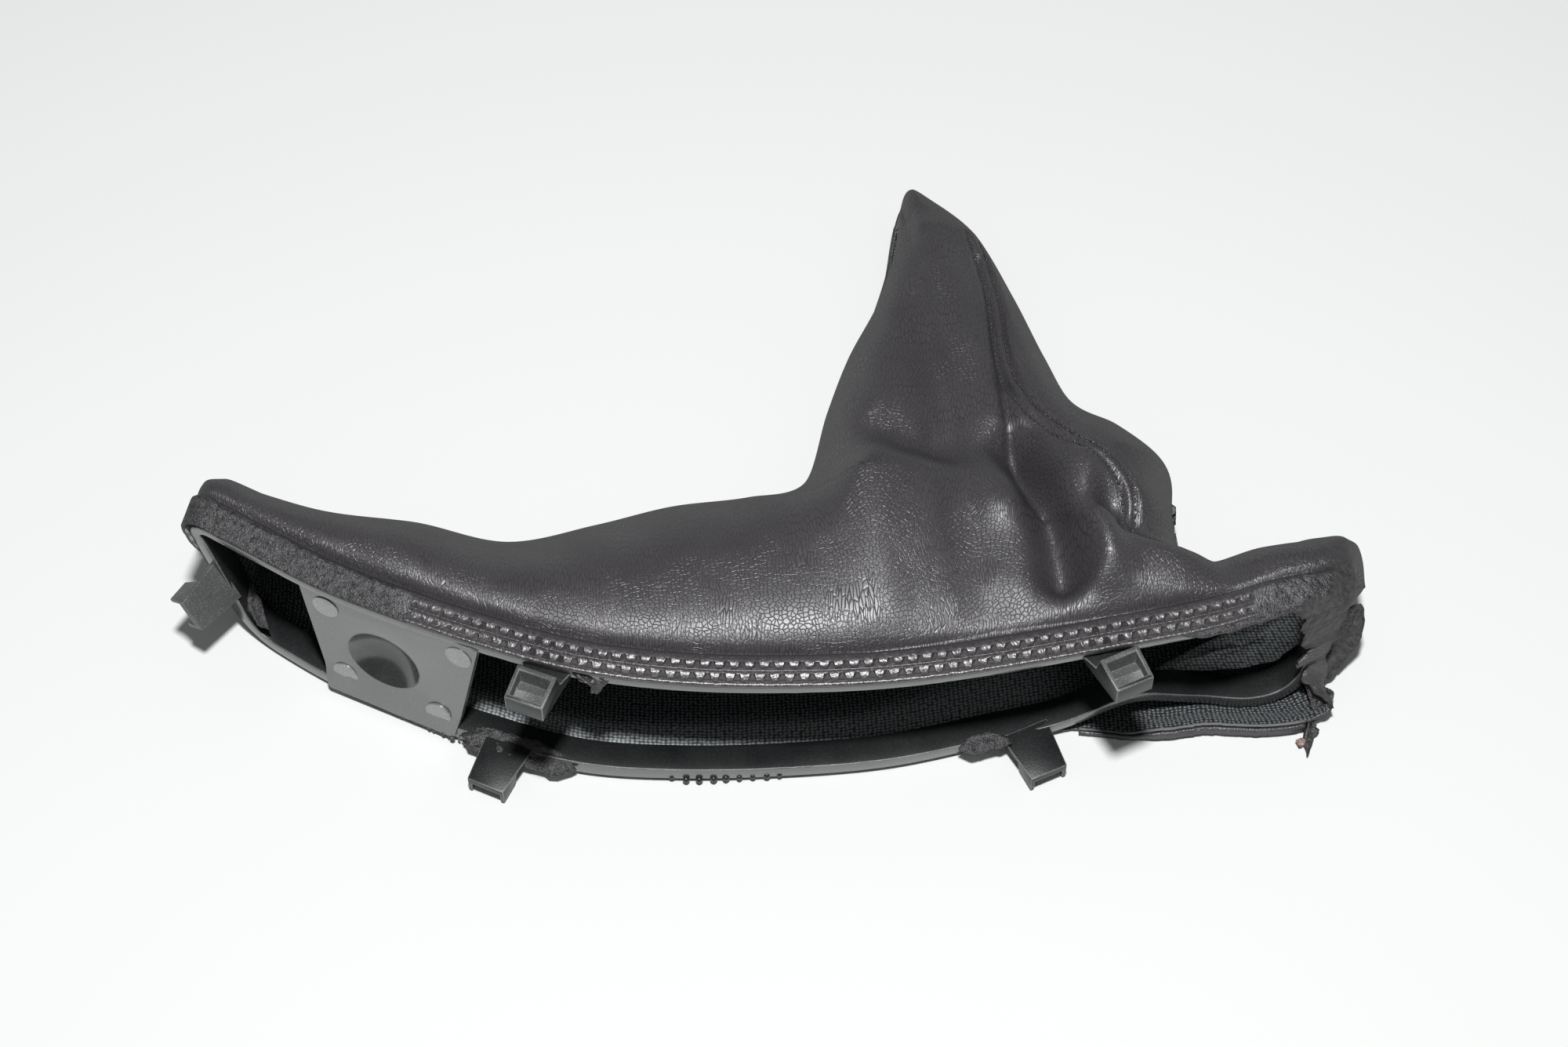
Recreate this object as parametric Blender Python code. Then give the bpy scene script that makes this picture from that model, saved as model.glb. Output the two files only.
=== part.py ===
"""Handbrake lever cover: a moulded clip-in carrier frame and the leatherette gaiter
that is welded round its collar and narrows to a sleeve with an open mouth.

It lies on its side, as it comes to rest: the frame's long rails are one above the
other, the frame's underside with its clips faces -Y, and the gaiter lies behind it.
All sizes below are in millimetres. X runs along the frame, Z is up from the table.
"""
import math

import bmesh
import bpy
from mathutils import Matrix, Vector

MM = 0.001

# Carrier frame: a long, narrow, arched collar
FRAME_BOTTOM = 2.0             # underside of the lower rail above the table
FRAME_HEIGHT = 47.8            # outside of the lower rail to outside of the upper rail
FRAME_LEFT_TOP = -170.0        # the left end slants from here
FRAME_LEFT_BOTTOM = -157.0     # to here
FRAME_RIGHT = 152.0
COLLAR_DEPTH = 13.0            # how far the collar wall reaches into the gaiter
COLLAR_WALL = 2.4              # wall at the collar's rear edge
COLLAR_TURN = 0.5              # share of the arch's slope that the walls turn with
UPPER_RIM = 4.3                # height of the front face of the upper rail
LOWER_RIM = 4.6                # the same on the lower rail
LEFT_LOWER_RIM = 8.0           # the lower rail is deeper below the bridge plate
DEEP_RIM_END = -95.0           # it is that deep up to this X
PLAIN_RIM_START = -60.0        # and back to its usual height from this one
RIM_BLEND = 0.4                # how the rims pass into each other round the ends
CORNER_TOP_LEFT = 6.0
CORNER_BOTTOM_LEFT = 12.0
CORNER_RIGHT = 13.0
# Front edge of each rail seen from above: the frame is arched towards -Y and is
# slightly twisted, so the two rails do not lie exactly over each other
UPPER_RAIL = ((-172, -13), (-150, -26), (-130, -37.5), (-110, -46.5), (-85, -56),
              (-58, -64.3), (-30, -68.5), (0, -69.5), (30, -68), (60, -63.5),
              (90, -57.3), (120, -50.5), (152, -39))
LOWER_RAIL = ((-172, -11), (-150, -28), (-130, -41), (-110, -51.5), (-85, -61.5),
              (-58, -69.5), (-30, -71.6), (0, -70.8), (30, -67.8), (60, -60.8),
              (90, -54), (106, -50), (120, -47.5), (135, -48), (152, -43))
# The torn-off right part of the lower rail has sprung up from the leather
SPRUNG_X = 99.0
SPRUNG_LIFT = 8.5
SPRUNG_WIDTH = 15.0
SPRUNG_HEIGHT = 6.0            # the rail moves as a whole up to this height

# Bridge plate that closes the collar between the small and the large opening
PLATE_CENTRE_X = -112.0
PLATE_TOP_LEFT_X = -137.0
PLATE_TOP_RIGHT_X = -85.5
PLATE_BOTTOM_LEFT_X = -130.0
PLATE_BOTTOM_RIGHT_X = -93.0
PLATE_THICKNESS = 2.5
PLATE_SETBACK = 1.3            # its face behind the rails' front edge at its middle
DIMPLE_DIAMETER = 22.5
DIMPLE_DEPTH = 6.0
DIMPLE_OFFSET = (-1.6, -1.2)   # along and up the plate from its middle
EJECTOR_DIAMETER = 8.0
EJECTOR_DEPTH = 0.25
EJECTOR_MARKS = ((-19.0, 14.5), (23.0, 16.0), (-14.5, -14.5), (15.5, -15.5))

# Snap clips: a plate on the collar's inner side with a hollow hook on its outer side
CLIP_LENGTH = 14.5
CLIP_WIDTH = 12.0
CLIP_PLATE = 2.0
CLIP_HOOK = 6.0                # height of the hook over the plate's inner face
CLIP_NOSE = 4.8                # the same at the tip
CLIP_STEP_START = 6.8          # where the hook rises from the neck
CLIP_STEP_END = 8.8
CLIP_LEG = 1.4                 # wall on each side of the hook's pocket
CLIP_POCKET_START = 10.0
CLIP_POCKET_FLOOR = 12.2
CLIP_ROOT = 0.8                # how deep the clip is rooted in the rail
CLIP_PROUD = 0.3               # its plate's face over the rail's inner face
CUT_PAST = 2.0                 # how far a cut runs out past the faces it opens
# Name, place along X, the rail it grows from and its yaw
CLIPS = (
    ("upper_left", -65.5, "upper", 21.0),
    ("upper_right", 89.5, "upper", -25.0),
    ("lower_left", -78.5, "lower", 24.0),
    ("lower_right", 69.0, "lower", -25.0),
)
END_CLIP_INSET = 3.4           # the clip at the left end sits this far inside the slant
END_CLIP_HEIGHT = 25.5
END_CLIP_YAW = 36.0
END_CLIP_TILT = 60.0

# Gaiter: one sheet of leatherette with its fabric backing
SHEET = 1.2
FIT_GAP = 0.5                  # leather to collar
CORNER_EASE = 0.9              # how much further it stands off the collar's corners
EDGE_SETBACK = 1.0             # the sheet's edge behind the rails' front edge
LIP_TOP = 4.6                  # mouth lips above and below the sleeve's flat line
LIP_BOTTOM = 4.2
LIP_STAGGER = 2.2              # the far lip reaches out further than the near one
HEM_REACH = 9.0                # the torn-off hem lies in front of the lower rail
HEM_START_X = 78.0
HEM_FULL_X = 112.0
HEM_HEIGHT = 14.0              # it fades out up to here on the right end
LOOSE_END_X = 132.0            # from here the torn right end stands off the frame
LOOSE_END_OUT = 8.0
LOOSE_END_FORWARD = 4.5
# The main folds of the upper side: a name, its run in plan, how much it lifts the
# sheet (less than nothing for a valley) and its width left and right of the run
FOLDS = (
    ("deep_valley", ((66, 14), (72, -5), (76, -24), (77.5, -36)), -10.0, 7.0, 7.0),
    ("valley_wall", ((84, 4), (86, -12), (88, -24), (92, -33)), 3.5, 6.0, 6.0),
    ("lobe_valley", ((92, -10), (100, -16), (112, -14), (122, -8)), -9.0, 7.0, 7.0),
    ("sleeve_ridge", ((44, 108), (50, 74), (56, 42), (60, 12), (61, -12)), 4.0, 8.0, 8.0),
    ("seam_crease", ((58, 102), (62, 72), (65, 42)), -2.5, 5.5, 5.5),
    ("side_dent", ((30, 16), (40, 13)), -4.5, 9.0, 9.0),
    ("shoulder", ((32, -3), (47, -3), (63, -9)), 8.5, 11.0, 32.0),
)
ROLL = 6.2                     # height of the sheet's roll behind the collar
ROLL_RISE = 14.0               # run over which it rises
ROLL_FADE = 30.0               # and over which it fades
# Each station is one line from the collar to the fold line that parts the upper side
# from the underside. The first value spaces the lines evenly round the collar, from the
# middle of its left end to the middle of its right end. Then the fold line (x, y, z),
# the height of the sheet short of the fold, its extra swell midway, how far from the
# fold line it starts to round over, and how high the underside lies over the table
STATIONS = (
    (-171, -171.5, 1.5, 27, 34, 0, 12, 20),
    (-161, -172.0, 8.0, 26, 40, 0, 15, 15),
    (-154, -165.5, 9.5, 24, 41, 1, 20, 8),
    (-146, -156.0, 8.0, 24, 40, 2, 22, 5),
    (-125, -132.0, 2.0, 22, 40, 4, 30, 1),
    (-100, -106.0, 0.5, 21, 38, 7, 36, 0),
    (-75, -80.0, -5.0, 20, 36, 6, 38, 0),
    (-50, -55.0, -0.3, 21, 40, 6, 40, 0),
    (-27, -33.0, 5.0, 22, 44, 6, 42, 0),
    (-4, -11.0, 7.5, 22, 47, 6, 42, 0),
    (14, 5.0, 12.5, 22, 47, 6, 38, 0),
    (25, 12.5, 40.0, 20, 44, 8, 26, 0),
    (33, 19.0, 62.0, 17, 38, 8, 22, 0),
    (40, 27.0, 82.0, 14, 30, 8, 15, 0),
    (45, 34.0, 104.0, 12, 24, 6, 11, 0),
    (49, 36.5, 126.0, 12, 19, 5, 9, 0),
    (53, 39.3, 132.5, 12, 18, 5, 9, 0),
    (57, 45.4, 129.5, 12, 18, 5, 10, 0),
    (62, 60.0, 112.5, 13, 24, 5, 12, 0),
    (68, 71.0, 86.0, 14, 31, 6, 17, 0),
    (75, 79.5, 61.0, 16, 37, 7, 22, 0),
    (82, 87.5, 42.0, 17, 40, 7, 24, 0),
    (89, 99.5, 32.5, 18, 40, 7, 22, 0),
    (96, 109.4, 19.5, 19, 40, 6, 20, 0),
    (102, 114.8, 5.0, 20, 40, 4, 17, 0),
    (110, 121.3, -10.0, 22, 42, 2, 12, 0),
    (122, 135.0, -12.0, 24, 44, 2, 11, 0),
    (135, 153.0, -10.0, 25, 43, 2, 14, 0),
    (145, 165.0, -13.0, 25, 40, 1, 18, 0),
    (152, 168.5, -24.0, 25, 34, 1, 14, 0),
)
MOUTH_FIRST = 13               # the stations between which the sleeve stays open
MOUTH_LAST = 15
COLUMNS_PER_STATION = 3
ROWS_ON_COLLAR = 2
ROWS_FREE = 11
END_STATIONS = 1.3             # over how many stations the two halves part at each end
UNDERSIDE_ROUNDING = 0.8       # how much tighter the sheet rounds under the fold
STRAIGHT_RUN = 0.35            # share of a line's run that leads straight off the collar
FOLDS_START = 0.12             # share of the run in which the folds come up
MOUTH_FULLNESS = 0.6           # less than 1 opens the mouth more towards its corners


def spline(points, x):
    """A smooth curve through (x, y) points, read at x."""
    last = len(points) - 1
    if x <= points[0][0]:
        (xa, ya), (xb, yb) = points[0], points[1]
        return ya + (x - xa) * (yb - ya) / (xb - xa)
    if x >= points[last][0]:
        (xa, ya), (xb, yb) = points[last - 1], points[last]
        return yb + (x - xb) * (yb - ya) / (xb - xa)
    i = max(k for k in range(last) if points[k][0] <= x)

    def slope(k):
        a = points[max(k - 1, 0)]
        b = points[min(k + 1, last)]
        return (b[1] - a[1]) / (b[0] - a[0])

    (xa, ya), (xb, yb) = points[i], points[i + 1]
    h = xb - xa
    t = (x - xa) / h
    return ((2 * t ** 3 - 3 * t ** 2 + 1) * ya + (t ** 3 - 2 * t ** 2 + t) * h * slope(i)
            + (3 * t ** 2 - 2 * t ** 3) * yb + (t ** 3 - t ** 2) * h * slope(i + 1))


def smooth(a, b, x):
    """0 below a, 1 above b, and an even S between them."""
    t = min(max((x - a) / (b - a), 0.0), 1.0)
    return t * t * (3 - 2 * t)


def front_y(x, z):
    """The frame's front edge: the two rails' plan curves, blended over the height."""
    up = min(max((z - FRAME_BOTTOM) / FRAME_HEIGHT, 0.0), 1.0)
    return spline(LOWER_RAIL, x) * (1 - up) + spline(UPPER_RAIL, x) * up


def inward(x):
    """Unit vector in plan, along the collar's walls, into the gaiter."""
    mid = FRAME_BOTTOM + FRAME_HEIGHT / 2
    dy = COLLAR_TURN * (front_y(x + 2, mid) - front_y(x - 2, mid)) / 4
    length = math.hypot(1, dy)
    return -dy / length, 1 / length


def frame_outline(grow=0.0, ease=0.0, steps=7):
    """The collar's outside, as (x, z) points from the middle of its left end, up and
    round clockwise as seen from the front. grow sets it outwards, ease its corners."""
    top = FRAME_BOTTOM + FRAME_HEIGHT
    corners = (
        (FRAME_LEFT_TOP, top, CORNER_TOP_LEFT),
        (FRAME_RIGHT, top, CORNER_RIGHT),
        (FRAME_RIGHT, FRAME_BOTTOM, CORNER_RIGHT),
        (FRAME_LEFT_BOTTOM, FRAME_BOTTOM, CORNER_BOTTOM_LEFT),
    )
    points = []
    count = len(corners)
    for i, (x, z, radius) in enumerate(corners):
        corner = Vector((x, z))
        before = (Vector(corners[i - 1][:2]) - corner).normalized()
        after = (Vector(corners[(i + 1) % count][:2]) - corner).normalized()
        half = before.angle(after) / 2
        run = radius / math.tan(half)
        centre = corner + (before + after).normalized() * (radius / math.sin(half))
        start = corner + before * run - centre
        turn = math.pi - 2 * half
        for k in range(steps + 1):
            a = -turn * k / steps
            spoke = Vector((start.x * math.cos(a) - start.y * math.sin(a),
                            start.x * math.sin(a) + start.y * math.cos(a)))
            bow = grow + ease * math.sin(math.pi * k / steps)
            points.append(centre + spoke * ((radius + bow) / radius))
    left = Vector((FRAME_LEFT_TOP + FRAME_LEFT_BOTTOM, 2 * top - FRAME_HEIGHT)) / 2
    slant = Vector((FRAME_HEIGHT, FRAME_LEFT_TOP - FRAME_LEFT_BOTTOM)).normalized()
    start = left - slant * grow
    return [(start.x, start.y)] + [(p.x, p.y) for p in points]


def resample(points, spacing):
    """Closed outline with points no further apart than spacing."""
    result = []
    for i, (xa, za) in enumerate(points):
        xb, zb = points[(i + 1) % len(points)]
        pieces = max(1, math.ceil(math.hypot(xb - xa, zb - za) / spacing))
        for k in range(pieces):
            result.append((xa + (xb - xa) * k / pieces, za + (zb - za) * k / pieces))
    return result


def lower_rim(x):
    """Height of the front face of the lower rail."""
    plain = smooth(DEEP_RIM_END, PLAIN_RIM_START, x)
    return LEFT_LOWER_RIM + (LOWER_RIM - LEFT_LOWER_RIM) * plain


def sprung_lift(x, z):
    """How far the loose stretch of the lower rail has sprung up."""
    low = 1 - smooth(FRAME_BOTTOM + SPRUNG_HEIGHT, FRAME_BOTTOM + FRAME_HEIGHT / 2, z)
    return SPRUNG_LIFT * low * math.exp(-((x - SPRUNG_X) / SPRUNG_WIDTH) ** 2)


def material(name, colour, roughness, metallic=0.0):
    mat = bpy.data.materials.new(name)
    mat.use_nodes = True
    shader = mat.node_tree.nodes["Principled BSDF"]
    shader.inputs["Base Color"].default_value = (*colour, 1.0)
    shader.inputs["Roughness"].default_value = roughness
    shader.inputs["Metallic"].default_value = metallic
    return mat


def make_object(name, verts, faces, mat=None):
    """A mesh object from points in millimetres."""
    mesh = bpy.data.meshes.new(name)
    mesh.from_pydata([Vector(v) * MM for v in verts], [], faces)
    bm = bmesh.new()
    bm.from_mesh(mesh)
    bmesh.ops.recalc_face_normals(bm, faces=bm.faces)
    bm.to_mesh(mesh)
    bm.free()
    obj = bpy.data.objects.new(name, mesh)
    bpy.context.collection.objects.link(obj)
    if mat:
        mesh.materials.append(mat)
    return obj


def combine(target, tool, operation):
    """Boolean of target with tool, kept as target's own mesh; the tool is removed."""
    cut = target.modifiers.new(operation.lower(), "BOOLEAN")
    cut.operation = operation
    cut.object = tool
    cut.solver = "EXACT"
    bpy.context.view_layer.update()
    graph = bpy.context.evaluated_depsgraph_get()
    mesh = bpy.data.meshes.new_from_object(target.evaluated_get(graph))
    target.modifiers.clear()
    target.data = mesh
    bpy.data.objects.remove(tool)


def prism(name, outline, low, high, axes):
    """Extrude a flat outline. axes is (origin, along, up, through)."""
    origin, along, up, through = axes
    verts = [origin + along * a + up * b + through * c
             for c in (low, high) for a, b in outline]
    n = len(outline)
    faces = [tuple(range(n)), tuple(range(2 * n - 1, n - 1, -1))]
    faces += [(k, k + n, (k + 1) % n + n, (k + 1) % n) for k in range(n)]
    return make_object(name, verts, faces)


def circle(radius, centre=(0.0, 0.0), sides=24):
    return [(centre[0] + radius * math.cos(2 * math.pi * k / sides),
             centre[1] + radius * math.sin(2 * math.pi * k / sides))
            for k in range(sides)]


def collar(mat):
    """The arched ring: front face, tapered inner wall, rear edge and outer wall."""
    outline = resample(frame_outline(), 7.0)
    n = len(outline)
    verts = []
    for i, (x, z) in enumerate(outline):
        (xa, za), (xb, zb) = outline[i - 1], outline[(i + 1) % n]
        length = math.hypot(xb - xa, zb - za)
        ix, iz = (zb - za) / length, -(xb - xa) / length
        upper = smooth(-RIM_BLEND, RIM_BLEND, -iz)
        rim = UPPER_RIM * upper + lower_rim(x) * (1 - upper)
        nx, ny = inward(x)
        lift = sprung_lift(x, z)
        rear = COLLAR_DEPTH
        for inset, depth in ((0, 0), (rim, 0), (COLLAR_WALL, rear), (0, rear)):
            px, pz = x + ix * inset, z + iz * inset
            verts.append((px + nx * depth, front_y(px, pz) + ny * depth, pz + lift))
    faces = []
    for i in range(n):
        j = (i + 1) % n
        for k in range(4):
            m = (k + 1) % 4
            faces.append((4 * i + k, 4 * j + k, 4 * j + m, 4 * i + m))
    return make_object("carrier_frame", verts, faces, mat)


def plate_axes():
    """Origin and axes of the bridge plate's face: along, up and out of it."""
    middle = FRAME_BOTTOM + FRAME_HEIGHT / 2
    x = PLATE_CENTRE_X
    half = (PLATE_TOP_RIGHT_X - PLATE_TOP_LEFT_X) / 2
    rise = front_y(x + half, middle) - front_y(x - half, middle)
    along = Vector((2 * half, rise, 0)).normalized()
    top, low = FRAME_BOTTOM + FRAME_HEIGHT, FRAME_BOTTOM
    lean = Vector((0, front_y(x, top) - front_y(x, low), FRAME_HEIGHT))
    up = (lean - along * lean.dot(along)).normalized()
    into = along.cross(up).normalized() * -1
    nx, ny = inward(x)
    origin = Vector((x + nx * PLATE_SETBACK, front_y(x, middle) + ny * PLATE_SETBACK, middle))
    return origin, along, up, into


def bridge_plate():
    """The flat plate with its round dimple and four ejector marks."""
    origin, along, up, into = plate_axes()
    top = FRAME_HEIGHT / 2 - UPPER_RIM / 2
    low = FRAME_HEIGHT / 2 - LEFT_LOWER_RIM / 2

    def run(x):
        return (x - PLATE_CENTRE_X) / along.x

    outline = ((run(PLATE_BOTTOM_LEFT_X), -low), (run(PLATE_BOTTOM_RIGHT_X), -low),
               (run(PLATE_TOP_RIGHT_X), top), (run(PLATE_TOP_LEFT_X), top))
    axes = (origin, along, up, into)
    plate = prism("plate", outline, 0.0, PLATE_THICKNESS, axes)

    rim = DIMPLE_DIAMETER / 2
    bowl = (rim ** 2 + DIMPLE_DEPTH ** 2) / (2 * DIMPLE_DEPTH)
    centre = origin + along * DIMPLE_OFFSET[0] + up * DIMPLE_OFFSET[1]
    centre -= into * (bowl - DIMPLE_DEPTH)
    turn = Matrix((along, up, into)).transposed().to_4x4()

    def ball(name, radius, keep_behind):
        mesh = bpy.data.meshes.new(name)
        bm = bmesh.new()
        bmesh.ops.create_uvsphere(bm, u_segments=28, v_segments=18, radius=radius)
        if keep_behind is not None:
            cut = bmesh.ops.bisect_plane(
                bm, geom=bm.verts[:] + bm.edges[:] + bm.faces[:],
                plane_co=(0, 0, keep_behind), plane_no=(0, 0, -1), clear_outer=True)
            edges = [e for e in cut["geom_cut"] if isinstance(e, bmesh.types.BMEdge)]
            bmesh.ops.edgeloop_fill(bm, edges=edges)
        bmesh.ops.transform(bm, matrix=Matrix.Translation(centre) @ turn, verts=bm.verts)
        bmesh.ops.scale(bm, vec=(MM, MM, MM), verts=bm.verts)
        bmesh.ops.recalc_face_normals(bm, faces=bm.faces)
        bm.to_mesh(mesh)
        bm.free()
        obj = bpy.data.objects.new(name, mesh)
        bpy.context.collection.objects.link(obj)
        return obj

    back = bowl - DIMPLE_DEPTH + PLATE_THICKNESS / 2
    combine(plate, ball("bowl_back", bowl + PLATE_THICKNESS, back), "UNION")
    combine(plate, ball("bowl", bowl, None), "DIFFERENCE")
    for mark in EJECTOR_MARKS:
        outline = circle(EJECTOR_DIAMETER / 2, mark)
        disc = prism("mark", outline, -CUT_PAST, EJECTOR_DEPTH, axes)
        combine(plate, disc, "DIFFERENCE")
    return plate


def clip(name, base, out, across, hook):
    """A snap clip: base is the middle of its root on the rail's inner face, out the
    way it points, across its width and hook the side that the hook is on."""
    profile = ((-CLIP_ROOT, 0), (CLIP_LENGTH, 0), (CLIP_LENGTH, CLIP_NOSE),
               (CLIP_STEP_END, CLIP_HOOK), (CLIP_STEP_START, CLIP_PLATE),
               (-CLIP_ROOT, CLIP_PLATE))
    half = CLIP_WIDTH / 2
    body = prism(name, profile, -half, half, (base, out, hook, across))
    above, beyond = CLIP_HOOK + CUT_PAST, CLIP_LENGTH + CUT_PAST
    pocket = ((CLIP_POCKET_START, above), (CLIP_POCKET_FLOOR, CLIP_PLATE),
              (beyond, CLIP_PLATE), (beyond, above))
    inside = half - CLIP_LEG
    cutter = prism("pocket", pocket, -inside, inside, (base, out, hook, across))
    combine(body, cutter, "DIFFERENCE")
    return body


def rail_clip(name, x, rail, yaw):
    """A clip on one of the long rails, level, turned outwards by yaw."""
    if rail == "upper":
        z = FRAME_BOTTOM + FRAME_HEIGHT - UPPER_RIM - CLIP_PROUD
        hook = Vector((0, 0, 1))
    else:
        z = FRAME_BOTTOM + lower_rim(x) + CLIP_PROUD
        hook = Vector((0, 0, -1))
    a = math.radians(yaw)
    out = Vector((-math.sin(a), -math.cos(a), 0))
    base = Vector((x, front_y(x, z), z))
    return clip(name, base, out, out.cross(hook), hook)


def end_clip():
    """The clip on the slanted left end, tilted with that end's wall."""
    a, tilt = math.radians(END_CLIP_YAW), math.radians(END_CLIP_TILT)
    out = Vector((-math.sin(a), -math.cos(a), 0))
    level = Vector((math.cos(a), -math.sin(a), 0))
    across = level * math.cos(tilt) - Vector((0, 0, 1)) * math.sin(tilt)
    hook = across.cross(out).normalized()
    if hook.z > 0:
        hook = -hook
    down = (FRAME_BOTTOM + FRAME_HEIGHT - END_CLIP_HEIGHT) / FRAME_HEIGHT
    x = FRAME_LEFT_TOP + (FRAME_LEFT_BOTTOM - FRAME_LEFT_TOP) * down + END_CLIP_INSET
    base = Vector((x, front_y(x, END_CLIP_HEIGHT), END_CLIP_HEIGHT))
    return clip("end", base, out, across, hook)


def carrier_frame():
    plastic = material("moulded_plastic", (0.05, 0.051, 0.051), 0.45)
    frame = collar(plastic)
    combine(frame, bridge_plate(), "UNION")
    for name, x, rail, yaw in CLIPS:
        combine(frame, rail_clip(name, x, rail, yaw), "UNION")
    combine(frame, end_clip(), "UNION")
    return frame


def station(i, field):
    """A value of the gaiter's station table, read smoothly between its lines."""
    table = [(k, row[field]) for k, row in enumerate(STATIONS)]
    return spline(table, i)


def fold_point(i):
    return station(i, 1), station(i, 2)


def rail_half(lower):
    """The leather's outside round the collar, from the middle of the left end to the
    middle of the right end, over the upper or under the lower rail."""
    outline = frame_outline(FIT_GAP + SHEET, CORNER_EASE)
    split = next(k for k in range(1, len(outline))
                 if outline[k][0] > 0 and outline[k + 1][1] < FRAME_BOTTOM + FRAME_HEIGHT / 2)
    right = ((outline[split][0] + outline[split + 1][0]) / 2,
             FRAME_BOTTOM + FRAME_HEIGHT / 2)
    if lower:
        return [outline[0]] + outline[:split:-1] + [right]
    return outline[:split + 1] + [right]


def start_point(half, i):
    """Where line i leaves the collar, at its share of the length round it."""
    lengths = [0.0]
    for (xa, za), (xb, zb) in zip(half, half[1:]):
        lengths.append(lengths[-1] + math.hypot(xb - xa, zb - za))
    last = len(STATIONS) - 1
    first, end = STATIONS[0][0], STATIONS[last][0]
    along = (station(i, 0) - first) / (end - first) * lengths[-1]
    for k in range(len(half) - 1):
        if lengths[k + 1] >= along - 1e-9:
            t = (along - lengths[k]) / (lengths[k + 1] - lengths[k])
            (xa, za), (xb, zb) = half[k], half[k + 1]
            return xa + (xb - xa) * t, za + (zb - za) * t
    return half[-1]


def fold_distance(x, y, outline):
    """Distance in plan from a point to the fold line."""
    best = 1e9
    for (xa, ya), (xb, yb) in zip(outline, outline[1:]):
        dx, dy = xb - xa, yb - ya
        t = min(max(((x - xa) * dx + (y - ya) * dy) / (dx * dx + dy * dy), 0), 1)
        best = min(best, math.hypot(x - xa - dx * t, y - ya - dy * t))
    return best


def left_of(x, y, run):
    """Whether a point in plan is left of the nearest stretch of a run."""
    nearest = min(zip(run, run[1:]), key=lambda pair: fold_distance(x, y, pair))
    (xa, ya), (xb, yb) = nearest
    return (xb - xa) * (y - ya) > (yb - ya) * (x - xa)


def fold_lift(x, y):
    """How far the folds raise or lower the sheet at a point in plan."""
    lift = 0.0
    for _, run, height, left, right in FOLDS:
        d = fold_distance(x, y, run)
        width = left if left_of(x, y, run) else right
        lift += height * math.exp(-(d / width) ** 2)
    return lift


def gaiter_grid(lower):
    """Rows of outside points of the upper or lower half, from the rail to the fold."""
    half = rail_half(lower)
    last = len(STATIONS) - 1
    columns = last * COLUMNS_PER_STATION
    outline = [fold_point(c / COLUMNS_PER_STATION) for c in range(columns + 1)]
    grid = []
    for c in range(columns + 1):
        i = c / COLUMNS_PER_STATION
        x0, z0 = start_point(half, i)
        nx, ny = inward(x0)
        loose = smooth(LOOSE_END_X, FRAME_RIGHT, x0)
        y0 = front_y(x0, z0)
        x0 += LOOSE_END_OUT * loose
        reach = LOOSE_END_FORWARD * loose
        if lower:
            hem = HEM_REACH * smooth(HEM_START_X, HEM_FULL_X, x0)
            low = 1 - smooth(FRAME_BOTTOM, FRAME_BOTTOM + HEM_HEIGHT, z0)
            reach += hem * low * (1 - loose)
        column = []
        for r in range(ROWS_ON_COLLAR):
            d = EDGE_SETBACK - reach
            d += (COLLAR_DEPTH + EDGE_SETBACK - d) * r / (ROWS_ON_COLLAR - 1)
            column.append((x0 + nx * d, y0 + ny * d, z0))
        ax, ay, _ = column[-1]
        bx, by = fold_point(i)
        zf, shoulder, swell, radius = (station(i, f) for f in (3, 4, 5, 6))
        floor = station(i, 7)
        lip = mouth_gap(i)
        from_end = min(i, last - i, END_STATIONS) / END_STATIONS
        opened = math.sqrt(1 - (1 - from_end) ** 2)
        if lower:
            zf_end = zf - LIP_BOTTOM * lip
            bx -= LIP_STAGGER * lip
        else:
            zf_end = zf + LIP_TOP * lip
        run = math.hypot(bx - ax, by - ay)
        radius = min(radius, fold_distance(ax, ay, outline))
        for r in range(1, ROWS_FREE + 1):
            t = math.sin(math.pi / 2 * r / ROWS_FREE)
            cx, cy = ax + nx * run * STRAIGHT_RUN, ay + ny * run * STRAIGHT_RUN
            px = (1 - t) ** 2 * ax + 2 * t * (1 - t) * cx + t * t * bx
            py = (1 - t) ** 2 * ay + 2 * t * (1 - t) * cy + t * t * by
            d = 0.0 if r == ROWS_FREE else fold_distance(px, py, outline)
            if lower:
                e = min(d / (radius * UNDERSIDE_ROUNDING), 1.0)
                round_over = math.sqrt(max(1 - (1 - e) ** 2, 0))
                rest = floor + (z0 - floor) * (1 - t) ** 3
                z = zf_end + (rest - zf_end) * round_over
            else:
                e = min(d / radius, 1.0)
                round_over = math.sqrt(max(1 - (1 - e) ** 2, 0))
                roof = z0 * (1 - t) + shoulder * t + swell * 4 * t * (1 - t)
                roof += fold_lift(px, py) * smooth(0.0, FOLDS_START, t)
                behind = math.hypot(px - ax, py - ay)
                rise = 1 - math.exp(-behind / ROLL_RISE)
                roof += ROLL * rise * math.exp(-behind / ROLL_FADE) * opened
                z = zf_end + (roof - zf_end) * round_over
            middle = z0 + (zf - z0) * t
            column.append((px, py, max(middle + (z - middle) * opened, 0.0)))
        grid.append(column)
    return grid


def mouth_gap(i):
    """1 where the sleeve's mouth is open, 0 where the fold line is closed."""
    if i <= MOUTH_FIRST or i >= MOUTH_LAST:
        return 0.0
    return math.sin(math.pi * (i - MOUTH_FIRST) / (MOUTH_LAST - MOUTH_FIRST)) ** MOUTH_FULLNESS


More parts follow.
